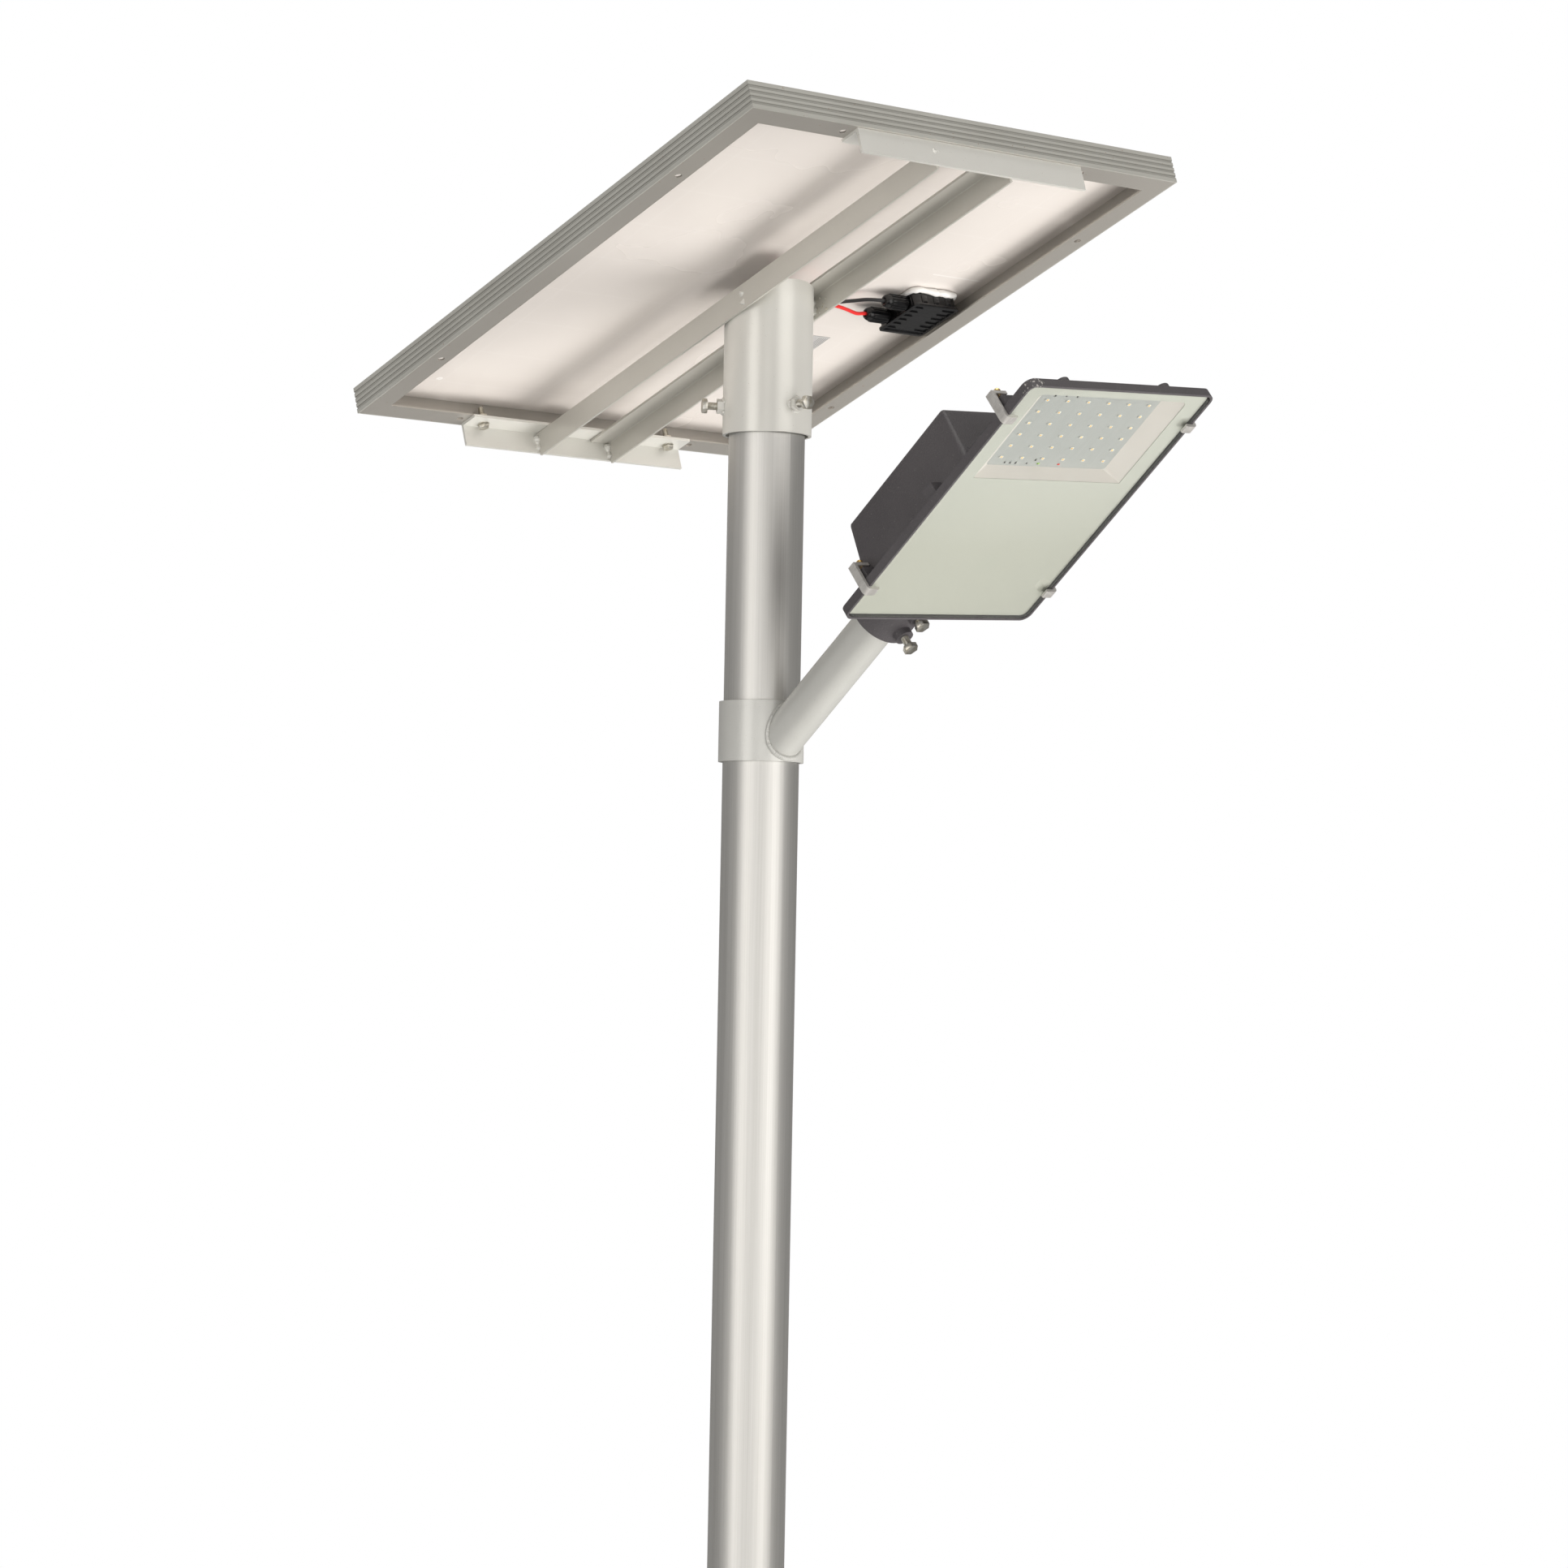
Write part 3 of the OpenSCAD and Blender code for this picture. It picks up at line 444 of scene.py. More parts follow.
# White silicone, smeared by hand
def siliconeWhite():
    s = Sheet("siliconeWhite")
    at = s.coordinates()
    smear = s.noise(at, 120, 3, 0.6)
    return s.finish(s.principled({
        "Base Color": s.mix(smear, colour(0.80, 0.79, 0.77), colour(0.93, 0.92, 0.90)),
        "Roughness": 0.26 + smear * 0.15,
        "Subsurface Weight": 0.1,
        "Subsurface Radius": (0.002, 0.002, 0.002),
        "Normal": s.bump(smear, 0.0006, 0.5),
    }))


# Cable sheath
def cableSheath(name, base):
    s = Sheet(name)
    at = s.coordinates()
    scuff = s.noise(at, 340, 3, 0.6)
    light = colour(min(base[0] * 1.25 + 0.01, 1), base[1] * 1.25 + 0.01, base[2] * 1.25 + 0.01)
    return s.finish(s.principled({
        "Base Color": s.mix(scuff, base, light),
        "Roughness": 0.32 + scuff * 0.2,
        "Normal": s.bump(scuff, 0.00005, 0.5),
    }))


# Casting: dark textured powder coat with dust on it
def castingCoat():
    look = {"corner": (318, -114, 13)}
    s = Sheet("castingCoat")
    at = s.coordinates()
    fine = s.noise(at, 620, 3, 0.65)
    cloud = s.noise(at, 12, 3)
    x, y = s.split(s.coordinates(inLamp))[:2]
    cornerX = x - look["corner"][0] * mm
    cornerY = y - look["corner"][1] * mm
    nearCorner = (cornerX * cornerX + cornerY * cornerY) < (look["corner"][2] * mm) ** 2
    chips = nearCorner * (s.noise(at, 340, 3, 0.7) > 0.60)
    dust = s.specks(at, 620, 0.36)
    shade = s.ramp(cloud * 0.5 + fine * 0.5, [(0.3, 0.0), (0.72, 1.0)])
    coat = s.mix(shade, colour(0.060, 0.055, 0.060), colour(0.098, 0.091, 0.096))
    dusty = s.mix(dust * 0.5, coat, colour(0.45, 0.43, 0.40))
    return s.finish(s.principled({
        "Base Color": s.mix(chips * 0.8, dusty, colour(0.55, 0.53, 0.50)),
        "Metallic": 0.1,
        "Roughness": 0.42 + fine * 0.16,
        "Normal": s.bump(fine, 0.00045, 0.8),
    }))


def rubberBlack():
    s = Sheet("rubberBlack")
    at = s.coordinates()
    chalk = s.noise(at, 200, 3)
    return s.finish(s.principled({
        "Base Color": s.mix(chalk, colour(0.012, 0.012, 0.012), colour(0.03, 0.03, 0.029)),
        "Roughness": 0.6 + chalk * 0.2,
    }))


# Screen print behind the glass: pale grey-green, paler towards the window, with a faint smudge
def screenPrint():
    look = {
        "base": colour(0.40, 0.40, 0.352),
        "pale": colour(0.455, 0.46, 0.42),
        "length": 323 * mm,
        "smudge": (78 * mm, 12 * mm),
        "smudgeRadius": 16 * mm,
    }
    s = Sheet("screenPrint")
    at = s.coordinates(inLamp)
    x, y = s.split(at)[:2]
    near = s.ramp(x * (1 / look["length"]), [(0.30, 0.0), (0.62, 1.0)])
    cloud = s.noise(at, 11, 3)
    across = y - look["smudge"][1]
    along = x - look["smudge"][0]
    distance = (across * across + along * along) * (1 / look["smudgeRadius"] ** 2)
    smudge = 1 - s.ramp(distance, [(0.1, 0.0), (1.0, 1.0)])
    ink = s.mix(near * 0.75 + cloud * 0.2, look["base"], look["pale"])
    return s.finish(s.principled({
        "Base Color": s.mix(smudge * 0.10, ink, colour(0.36, 0.40, 0.34)),
        "Roughness": 0.42 + cloud * 0.1,
    }))


def reflectorWhite():
    s = Sheet("reflectorWhite")
    at = s.coordinates(inLamp)
    cloud = s.noise(at, 26, 3)
    return s.finish(s.principled({
        "Base Color": s.mix(cloud, colour(0.58, 0.545, 0.51), colour(0.64, 0.605, 0.575)),
        "Roughness": 0.35 + cloud * 0.15,
        "Normal": s.bump(cloud, 0.0002, 0.4),
    }))


# LED board: silver-white mask with hairlines across it
def boardMask():
    s = Sheet("boardMask")
    hairline = s.noise(s.coordinates(inLamp, (0.03, 1, 1)), 1300, 2, 0.6)
    cloud = s.noise(s.coordinates(inLamp), 20, 2)
    shade = s.ramp(hairline, [(0.32, 0.0), (0.68, 1.0)])
    return s.finish(s.principled({
        "Base Color": s.mix(shade, colour(0.42, 0.43, 0.42), colour(0.46, 0.47, 0.46)),
        "Metallic": 0.3,
        "Roughness": 0.36 + hairline * 0.06 + cloud * 0.05,
        "Normal": s.bump(hairline, 0.00001, 0.3),
    }))


# A small plain part with a slight cloud in its colour
def smallPart(name, base, rough, metallic=0.0, glow=0.0):
    s = Sheet(name)
    cloud = s.noise(s.coordinates(), 700, 2)
    dark = colour(base[0] * 0.85, base[1] * 0.85, base[2] * 0.85)
    return s.finish(s.principled({
        "Base Color": s.mix(cloud, dark, base),
        "Metallic": metallic,
        "Roughness": rough + cloud * 0.1,
        "Emission Color": base,
        "Emission Strength": glow,
    }))


# Raw extruded aluminium, with lines along the clamp's width and sawn ends
def clampMetal():
    s = Sheet("clampMetal")
    lines = s.noise(s.coordinates(inLamp, (0.05, 1, 1)), 900, 3, 0.6)
    cloud = s.noise(s.coordinates(inLamp), 170, 3)
    shade = s.ramp(lines * 0.4 + cloud * 0.6, [(0.30, 0.0), (0.70, 1.0)])
    return s.finish(s.principled({
        "Base Color": s.mix(shade, colour(0.62, 0.60, 0.57), colour(0.84, 0.82, 0.79)),
        "Metallic": 0.75,
        "Roughness": 0.30 + cloud * 0.2,
        "Normal": s.bump(lines, 0.00004, 0.5),
    }))


# Painted and galvanised surfaces: base and dark colour, roughness, depth and scale of the peel
coats = {
    "coat": ("bracketCoat", (0.75, 0.745, 0.705), (0.70, 0.69, 0.65), 0.30, 0.00010, 900),
    # Rails: the bracket's powder coat made darker, as painted shade on the rails
    "railCoat": ("railCoat", (0.60, 0.585, 0.54), (0.55, 0.535, 0.49), 0.32, 0.00010, 900),
    # Collar: the arm's paint made lighter, as painted light on the collar
    "collarCoat": ("collarCoat", (0.62, 0.62, 0.595), (0.56, 0.56, 0.535), 0.30, 0.00022, 620),
    "armCoat": ("armCoat", (0.56, 0.56, 0.535), (0.50, 0.50, 0.475), 0.30, 0.00022, 620),
    "galvanised": ("galvanisedSteel", (0.56, 0.57, 0.58), (0.42, 0.43, 0.44), 0.36, 0.00015, 300),
}
looks = {}
for key, (name, base, dark, rough, peel, scale) in coats.items():
    looks[key] = powderCoat(name, colour(*base), colour(*dark), rough, peel, scale)
looks |= {
    "pole": poleMetal(),
    "frameLong": frameMetal("frameMetalLong", (0.01, 1, 1)),
    "frameCross": frameMetal("frameMetalCross", (1, 0.01, 1)),
    "zinc": zincPlate(),
    "backsheet": backsheetFilm(),
    "cell": cellSilicon(),
    "panelGlass": clearGlass("panelGlass", colour(0.98, 0.985, 0.985), 0.22, 0.22),
    "coverGlass": clearGlass("coverGlass", colour(0.982, 0.988, 0.984), 0.03, 0.85),
    "label": labelFoil(),
    "box": mouldedBlack("boxPlastic", colour(0.004, 0.004, 0.0045), 0.14),
    "lid": mouldedBlack("lidPlastic", colour(0.005, 0.005, 0.0055), 0.16),
    "silicone": siliconeWhite(),
    "black": cableSheath("blackSheath", colour(0.015, 0.015, 0.016)),
    "red": cableSheath("redSheath", colour(0.62, 0.02, 0.018)),
    "casting": castingCoat(),
    "gasket": rubberBlack(),
    "print": screenPrint(),
    "reflector": reflectorWhite(),
    "board": boardMask(),
    "package": smallPart("ledPackage", colour(0.86, 0.86, 0.82), 0.3),
    "phosphor": smallPart("ledPhosphor", colour(0.90, 0.56, 0.14), 0.4),
    "green": smallPart("greenLed", colour(0.45, 0.80, 0.10), 0.25),
    "redLed": smallPart("redLed", colour(0.80, 0.10, 0.08), 0.25),
    "solder": smallPart("solder", colour(0.75, 0.75, 0.74), 0.25, 0.9),
    "component": smallPart("component", colour(0.10, 0.10, 0.10), 0.4),
    "battery": smallPart("batteryWrap", colour(0.02, 0.09, 0.40), 0.3),
    "controller": smallPart("controllerBoard", colour(0.03, 0.14, 0.06), 0.45),
    "clamp": clampMetal(),
    "brass": smallPart("brass", colour(0.80, 0.56, 0.22), 0.18, 1.0),
}
print("materials made:", len(looks))

nodeLooks = {
    "pole": ["pole_tube"],
    "galvanised": ["base_plate", "gussets"],
    "coat": ["sleeve", "sleeve_nuts", "cross_low", "cross_high"],
    "railCoat": ["rail_left", "rail_right"],
    "collarCoat": ["collar", "collar_nut"],
    "armCoat": ["arm_tube"],
    "zinc": ["sleeve_bolt_1", "sleeve_bolt_2", "sleeve_bolt_3", "collar_bolt", "spigot_bolt_1",
             "spigot_bolt_2", "panel_bolts", "panel_nuts"],
    "frameLong": ["frame_left", "frame_right"],
    "frameCross": ["frame_low", "frame_high"],
    "backsheet": ["backsheet"],
    "cell": ["solar_cells"],
    "panelGlass": ["panel_glass"],
    "coverGlass": ["cover_glass"],
    "label": ["panel_label"],
    "box": ["junction_box", "gland_red", "gland_black"],
    "lid": ["junction_lid"],
    "silicone": ["sealant"],
    "black": ["pole_cable", "head_cable", "arm_cable", "lamp_cable", "pv_lead_black"],
    "red": ["pv_lead_red"],
    "casting": ["lamp_housing"],
    "gasket": ["gasket"],
    "print": ["glass_print"],
    "reflector": ["reflector"],
    "board": ["led_board"],
    "package": ["leds"],
    "green": ["signal_leds"],
    "battery": ["battery_pack"],
    "controller": ["charge_controller"],
    "clamp": ["clamp_1", "clamp_2", "clamp_3", "clamp_4"],
    "brass": ["clamp_screw_1", "clamp_screw_2", "clamp_screw_3", "clamp_screw_4"],
}
for look, names in nodeLooks.items():
    for name in names:
        nodes[name].data.materials.clear()
        nodes[name].data.materials.append(looks[look])
print("CAD nodes painted")


# The low and high corner of a CAD node, in one of the frames
def sized(node, place=upright):
    back = place.inverted()
    points = [back @ v.co for v in nodes[node].data.vertices]
    low = Vector([min(p[axis] for p in points) for axis in range(3)])
    high = Vector([max(p[axis] for p in points) for axis in range(3)])
    return low, high


def addPiece(name, bm, look, body, replaced=(), place=upright, smooth=35):
    bmesh.ops.recalc_face_normals(bm, faces=bm.faces)
    bm.transform(place)
    mesh = bpy.data.meshes.new(name)
    bm.to_mesh(mesh)
    bm.free()
    return addMesh(name, mesh, look, body, replaced, smooth)


def addMesh(name, mesh, look, body, replaced=(), smooth=35):
    mesh.materials.clear()
    mesh.materials.append(looks[look])
    mesh.shade_smooth()
    mesh.set_sharp_from_angle(angle=math.radians(smooth))
    piece = bpy.data.objects.new(name, mesh)
    scene.collection.objects.link(piece)
    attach(piece, body)
    if replaced:
        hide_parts(*replaced)
    return piece


def block(bm, low, high):
    made = bmesh.ops.create_cube(bm, size=1)["verts"]
    bmesh.ops.scale(bm, vec=Vector(high) - Vector(low), verts=made)
    bmesh.ops.translate(bm, vec=(Vector(high) + Vector(low)) / 2, verts=made)


def rounded(bm, edges, width, segments):
    bmesh.ops.bevel(bm, geom=edges, offset=width, offset_type="OFFSET", segments=segments, profile=0.5,
                    affect="EDGES", clamp_overlap=True, material=-1)


# A block with round corners along z, and its rims eased
def slab(bm, low, high, corner, ease, segments=6):
    other = bmesh.new()
    block(other, low, high)
    uprightEdges = [e for e in other.edges if abs(e.verts[0].co.z - e.verts[1].co.z) > 1e-6]
    rounded(other, uprightEdges, corner, segments)
    if ease:
        rounded(other, [e for e in other.edges if e.calc_face_angle() > 1.2], ease, 2)
    poured(bm, other)


# The same round a middle point, with all sizes in millimetres
def pad(bm, middle, size, corner, ease, segments=2):
    half = Vector(size) / 2 * mm
    slab(bm, Vector(middle) - half, Vector(middle) + half, corner * mm, ease * mm, segments)


def poured(bm, other):
    mesh = bpy.data.meshes.new("poured")
    other.to_mesh(mesh)
    other.free()
    bm.from_mesh(mesh)
    bpy.data.meshes.remove(mesh)


# A solid of revolution about z: the outline runs from the axis and back to it
def turned(bm, outline, steps=48, place=upright):
    other = bmesh.new()
    verts = [other.verts.new((radius, 0, height)) for radius, height in outline]
    edges = [other.edges.new(pair) for pair in zip(verts, verts[1:])]
    bmesh.ops.spin(other, geom=verts + edges, cent=(0, 0, 0), axis=(0, 0, 1), angle=2 * math.pi, steps=steps,
                   use_merge=True)
    bmesh.ops.remove_doubles(other, verts=other.verts, dist=1e-6)
    bmesh.ops.dissolve_degenerate(other, edges=other.edges, dist=1e-7)
    bmesh.ops.recalc_face_normals(other, faces=other.faces)
    other.transform(place)
    poured(bm, other)


# A frame on a bolt's own axis, with z towards its head
def boltFrame(node):
    z = Vector(joints[node + "_screw"]["axis"])
    y = Vector((0, 1, 0)) if abs(z.y) < 0.6 else Vector((0, 0, 1))
    x = y.cross(z).normalized()
    place = axesMatrix(x, z.cross(x), z, Vector((0, 0, 0)))
    low, high = sized(node, place)
    return place @ Matrix.Translation(((low.x + high.x) / 2, (low.y + high.y) / 2, 0))


# Merged copies of CAD nodes with their edges eased
softParts = [
    (0.5, "coat", "panel_head", "powder_coat", ["sleeve", "sleeve_nuts"]),
    (0.7, "railCoat", "panel_head", "powder_coat", ["rail_left", "rail_right"]),
    (0.7, "coat", "panel_head", "powder_coat", ["cross_low", "cross_high"]),
    (0.3, "frameCross", "panel_head", "frame_aluminium", ["frame_low", "frame_high"]),
    (0.3, "frameLong", "panel_head", "frame_aluminium", ["frame_left", "frame_right"]),
    (0.5, "box", "panel_head", "box_black", ["junction_box"]),
    (0.7, "collarCoat", "arm", "arm_paint", ["collar"]),
    (0.5, "collarCoat", "arm", "arm_paint", ["collar_nut"]),
    (0.5, "armCoat", "arm", "arm_paint", ["arm_tube"]),
    (1.2, "galvanised", "pole", "galvanised", ["base_plate"]),
    (0.6, "galvanised", "pole", "galvanised", ["gussets"]),
    (1.1, "casting", "lamp", "casting_grey", ["lamp_housing"]),
]
for n in (1, 2, 3, 4):
    softParts.append((0.35, "clamp", f"glass_clamp_{n}", "clamp_aluminium", [f"clamp_{n}"]))


def camel(name):
    first, *others = name.split("_")
    return first + "".join(word.capitalize() for word in others)


def addSoftened(node, width, look, body):
    bm = bmesh.new()
    bm.from_mesh(nodes[node].data)
    bmesh.ops.remove_doubles(bm, verts=bm.verts, dist=2e-6)
    bmesh.ops.dissolve_limit(bm, angle_limit=math.radians(0.6), verts=bm.verts, edges=bm.edges)
    edges = [e for e in bm.edges if len(e.link_faces) == 2 and e.calc_face_angle() > math.radians(32)]
    rounded(bm, edges, width * mm, 2)
    mesh = bpy.data.meshes.new(camel(node))
    bm.to_mesh(mesh)
    bm.free()
    piece = addMesh(camel(node), mesh, look, body, (node,), 40)
    even = piece.modifiers.new("evenShading", "WEIGHTED_NORMAL")
    even.keep_sharp = True


for width, look, body, slot, names in softParts:
    for node in names:
        addSoftened(node, width, look, body)
print("edges eased:", sum(len(part[-1]) for part in softParts))


# Cords: the panel's two leads, from their glands into the boot in the sleeve's mouth
leadLook = {"diameter": 3.8, "steps": 4, "boot": 20, "clear": 0.3, "headAt": 16, "tilt": math.radians(19)}
bootX = leadLook["headAt"] - leadLook["boot"] * math.sin(leadLook["tilt"])
leadRise = leadLook["clear"] + leadLook["diameter"] / 2 * math.sin(leadLook["tilt"])
bootZ = leadRise - leadLook["boot"] * math.cos(leadLook["tilt"])
leadRoutes = {
    "red": [
        (-15.5, 172, 10.8), (-15.5, 163, 10.8), (-15.5, 151.2, 10.8), (-13, 138, 8), (-7, 122, 7),
        (-1, 104, 6),
        (3, 78, 6), (8, 54, 6), (13, 34, 6), (15, 19, 3), (bootX + 3, 6, -7), (bootX, 2.6, bootZ),
    ],
    "black": [
        (15.5, 172, 10.8), (15.5, 163, 10.8), (15.5, 151.2, 10.8), (9, 136, 13), (0, 122, 14), (-7, 104, 14),
        (-5, 80, 14), (1, 54, 14), (8, 32, 14), (13, 13, 12), (bootX + 5, 1, 2), (bootX + 2, -2.6, -11),
        (bootX, -2.6, bootZ),
    ],
}


def smoothPath(route, steps):
    points = [Vector(p) for p in route]
    path = []
    for i in range(len(points) - 1):
        a, b = points[max(i - 1, 0)], points[i]
        c, d = points[i + 1], points[min(i + 2, len(points) - 1)]
        for step in range(steps):
            t = step / steps
            path.append(0.5 * (2 * b + (c - a) * t + (2 * a - 5 * b + 4 * c - d) * t * t
                               + (3 * b - a - 3 * c + d) * t ** 3))
    return path + [points[-1]]


def lengthOf(path):
    return sum((b - a).length for a, b in zip(path, path[1:]))


def curvePiece(name, paths, fineness):
    curve = bpy.data.curves.new(name, "CURVE")
    curve.dimensions = "3D"
    curve.bevel_depth = 1
    curve.bevel_resolution = fineness
    curve.use_fill_caps = True
    for points, radii, closed in paths:
        spline = curve.splines.new("POLY")
        spline.points.add(len(points) - 1)
        spline.use_cyclic_u = closed
        spline.use_smooth = True
        for point, at, radius in zip(spline.points, points, radii):
            point.co = (*at, 1)
            point.radius = radius
    return curve


def addLead(name, look, route):
    path = [inPanel @ (p * mm) for p in smoothPath(route, leadLook["steps"])]
    radius = leadLook["diameter"] / 2 * mm
    curve = curvePiece(name, [(path, [radius] * len(path), False)], 5)
    curve.materials.append(looks[look])
    piece = bpy.data.objects.new(name, curve)
    scene.collection.objects.link(piece)
    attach(piece, "panel_head")
    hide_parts(f"pv_lead_{look}")
    lengthOf(path)
    print(name, "length", round(lengthOf(path), 4))


addLead("leadRed", "red", leadRoutes["red"])
addLead("leadBlack", "black", leadRoutes["black"])
print("leads laid")


# Weld beads: tubes with a ripple along them, half sunk in the corner that they fill
weldLook = {"pitch": 2.1, "ripple": 0.05, "drift": 0.05, "wander": 0.075, "fineness": 3}


def spaced(path, step, closed):
    points = path + [path[0]] if closed else path
    count = max(int(lengthOf(points) / step), 3)
    gap = lengthOf(points) / count
    made, left = [points[0].copy()], gap
    for a, b in zip(points, points[1:]):
        run = (b - a).length
        while run > left:
            a = a + (b - a) * (left / run)
            run -= left
            made.append(a.copy())
            left = gap
        left -= run
    return made[:count] if closed else made


# A curve turned into a mesh
def beadMesh(name, paths, fineness):
    holder = bpy.data.objects.new(name, curvePiece(name, paths, fineness))
    scene.collection.objects.link(holder)
    mesh = bpy.data.meshes.new_from_object(holder.evaluated_get(bpy.context.evaluated_depsgraph_get()))
    bpy.data.objects.remove(holder)
    return mesh


def addWeld(name, beads, look, body, seed):
    chance = random.Random(seed)
    paths = []
    for path, radiusOf, closed in beads:
        points = spaced(path, weldLook["pitch"] / 4 * mm, closed)
        radii = []
        drift = 0
        for i, point in enumerate(points):
            along = i / (len(points) - 1)
            drift = drift * 0.93 + chance.uniform(-1, 1) * weldLook["drift"]
            radius = radiusOf(along) * (1 + weldLook["ripple"] * math.cos(i * math.pi / 2) + drift)
            if not closed:
                radius *= min(1, 0.35 + 6 * min(along, 1 - along))
            radii.append(radius * mm)
            point += Vector([chance.uniform(-1, 1) * weldLook["wander"] * mm for axis in range(3)])
        paths.append((points, radii, closed))
    mesh = beadMesh(name + "Line", paths, weldLook["fineness"])
    mesh.name = name
    addMesh(name, mesh, look, body, (), 80)


collarR = sized("collar")[1].y
armR = sized("arm_tube", inArm)[1].y
armCos, armSin = inArm.col[0].x, inArm.col[0].z


def armRing():
    points = []
    for i in range(160):
        t = 2 * math.pi * i / 160 - math.pi / 2
        y = (armR + 0.7 * mm) * math.cos(t)
        z = (armR + 0.7 * mm) * math.sin(t)
        along = (math.sqrt((collarR + 0.5 * mm) ** 2 - y * y) + z * armSin) / armCos
        points.append(inArm @ Vector((along, y, z)))
    return points


# Three lumps of weld round a nut
nutWeld = {"from": 7.2, "radius": 2.0, "points": 9, "arcs": ((20, 75), (150, 60), (235, 80))}


def nutBlobs(outward, height, tubeR):
    across = Vector((0, 0, 1)).cross(outward)
    blobs = []
    for start, sweep in nutWeld["arcs"]:
        run = []
        for i in range(nutWeld["points"]):
            t = math.radians(start + sweep * i / (nutWeld["points"] - 1))
            y = nutWeld["from"] * mm * math.cos(t)
            z = nutWeld["from"] * mm * math.sin(t)
            run.append(outward * math.sqrt(tubeR ** 2 - y * y) + across * y + Vector((0, 0, height + z)))
        blobs.append((run, lambda along: nutWeld["radius"], False))
    return blobs


def lowHeavy(small, large):
    return lambda along: small + (large - small) * max(0, 1 - 5 * min(along, 1 - along))


armWelds = [(armRing(), lowHeavy(1.9, 3.1), True)]
collarAxis = Vector(joints["collar_bolt_screw"]["axis"])
collarBoltZ = boltFrame("collar_bolt").translation.z
armWelds += nutBlobs(collarAxis, collarBoltZ, collarR)
addWeld("armWelds", armWelds, "armCoat", "arm", 3)

sleeveR = sized("sleeve")[1].y
sleeveWelds, endWelds = [], []
for number in (1, 2, 3):
    bolt = boltFrame(f"sleeve_bolt_{number}")
    sleeveWelds += nutBlobs(bolt.col[2].to_3d(), bolt.translation.z, sleeveR)
angleLeg = 3 * mm
crossInner = sized("cross_low", inPanel)[0].x + angleLeg
legFace = sized("rail_right", inPanel)[1].y
legBack = legFace - angleLeg
poleAtPanel = inPanel.inverted() @ Vector((0, 0, inPanel.translation.z))
axisInPanel = inPanel.inverted().to_3x3() @ Vector((0, 0, 1))
for side in (-1, 1):
    for end in (-1, 1):
        for face in (legFace + 1.0 * mm, legBack - 1.0 * mm):
            at = Vector((end * (abs(crossInner) - 0.9 * mm), side * face, 0))
            run = [inPanel @ (at + Vector((0, 0, n * mm))) for n in (-23, -14, -6)]
            endWelds.append((run, lambda along: 2.4 + 1.7 * along + 0.7 * math.sin(along * 11), False))
        run = []
        for n in (-27.5, -17.5, -7.5):
            middle = poleAtPanel + axisInPanel * (n * mm / axisInPanel.z)
            run.append(inPanel @ Vector((middle.x + end * 9.5 * mm, side * (sleeveR - 0.2 * mm), n * mm)))
        sleeveWelds.append((run, lambda along: 1.7, False))
    lump = [inPanel @ Vector((poleAtPanel.x + u * mm, side * (legBack + side * -0.6 * mm), n * mm))
            for u, n in ((15.5, -8.5), (13.0, -13), (14.0, -19), (11.0, -24))]
    sleeveWelds.append((lump, lambda along: 3.3 + 1.1 * math.sin(along * 9), False))
addWeld("bracketWelds", sleeveWelds, "coat", "panel_head", 5)
addWeld("railEndWelds", endWelds, "coat", "panel_head", 6)


# Spatter: small flattened drops on the rails' legs beside the sleeve
def makeSpatter():
    chance = random.Random(17)
    bm = bmesh.new()
    for side in (-1, 1):
        for drop in range(16):
            radius = chance.uniform(0.5, 1.15) * mm
            at = Vector((poleAtPanel.x + chance.uniform(14, 33) * mm, side * (legBack - 0.1 * radius),
                         chance.uniform(-26, -7) * mm))
            place = inPanel @ Matrix.Translation(at) @ Matrix.Diagonal((1, 0.55, 1, 1))
            bmesh.ops.create_icosphere(bm, subdivisions=2, radius=radius, matrix=place)
    addPiece("weldSpatter", bm, "zinc", "panel_head", (), upright, 80)


makeSpatter()

plateTop = sized("base_plate")[1].z
poleR = sized("pole_tube")[1].y
ring = [Vector((math.cos(i / 48 * 2 * math.pi), math.sin(i / 48 * 2 * math.pi), 0)) for i in range(48)]
poleRing = [p * (poleR + 1 * mm) + Vector((0, 0, plateTop + 0.6 * mm)) for p in ring]
baseWelds = [(poleRing, lambda along: 3.2, True)]
for turn in range(4):
    spin = Matrix.Rotation(turn * math.pi / 2, 3, "Z")
    for side in (-1, 1):
        y = side * 3.6 * mm
        floorRun = [spin @ Vector((x * mm, y, plateTop + 0.5 * mm)) for x in (42, 66, 91)]
        wallRun = [spin @ Vector((poleR + 0.6 * mm, y, z * mm)) for z in (14, 55, 98)]
        baseWelds += [(floorRun, lambda along: 2.2, False), (wallRun, lambda along: 2.2, False)]
addWeld("baseWelds", baseWelds, "galvanised", "pole", 7)
print("welds laid")


# Bolts along z: a hex head with a chamfered top, and a thread cut to the seat
boltSizes = {
    "set": {"radius": 4.0, "pitch": 1.25, "flat": 13.0, "head": 5.5, "cut": 0.68},
    "panel": {"radius": 3.0, "pitch": 1.0, "flat": 10.0, "head": 4.0, "cut": 0.54},
}


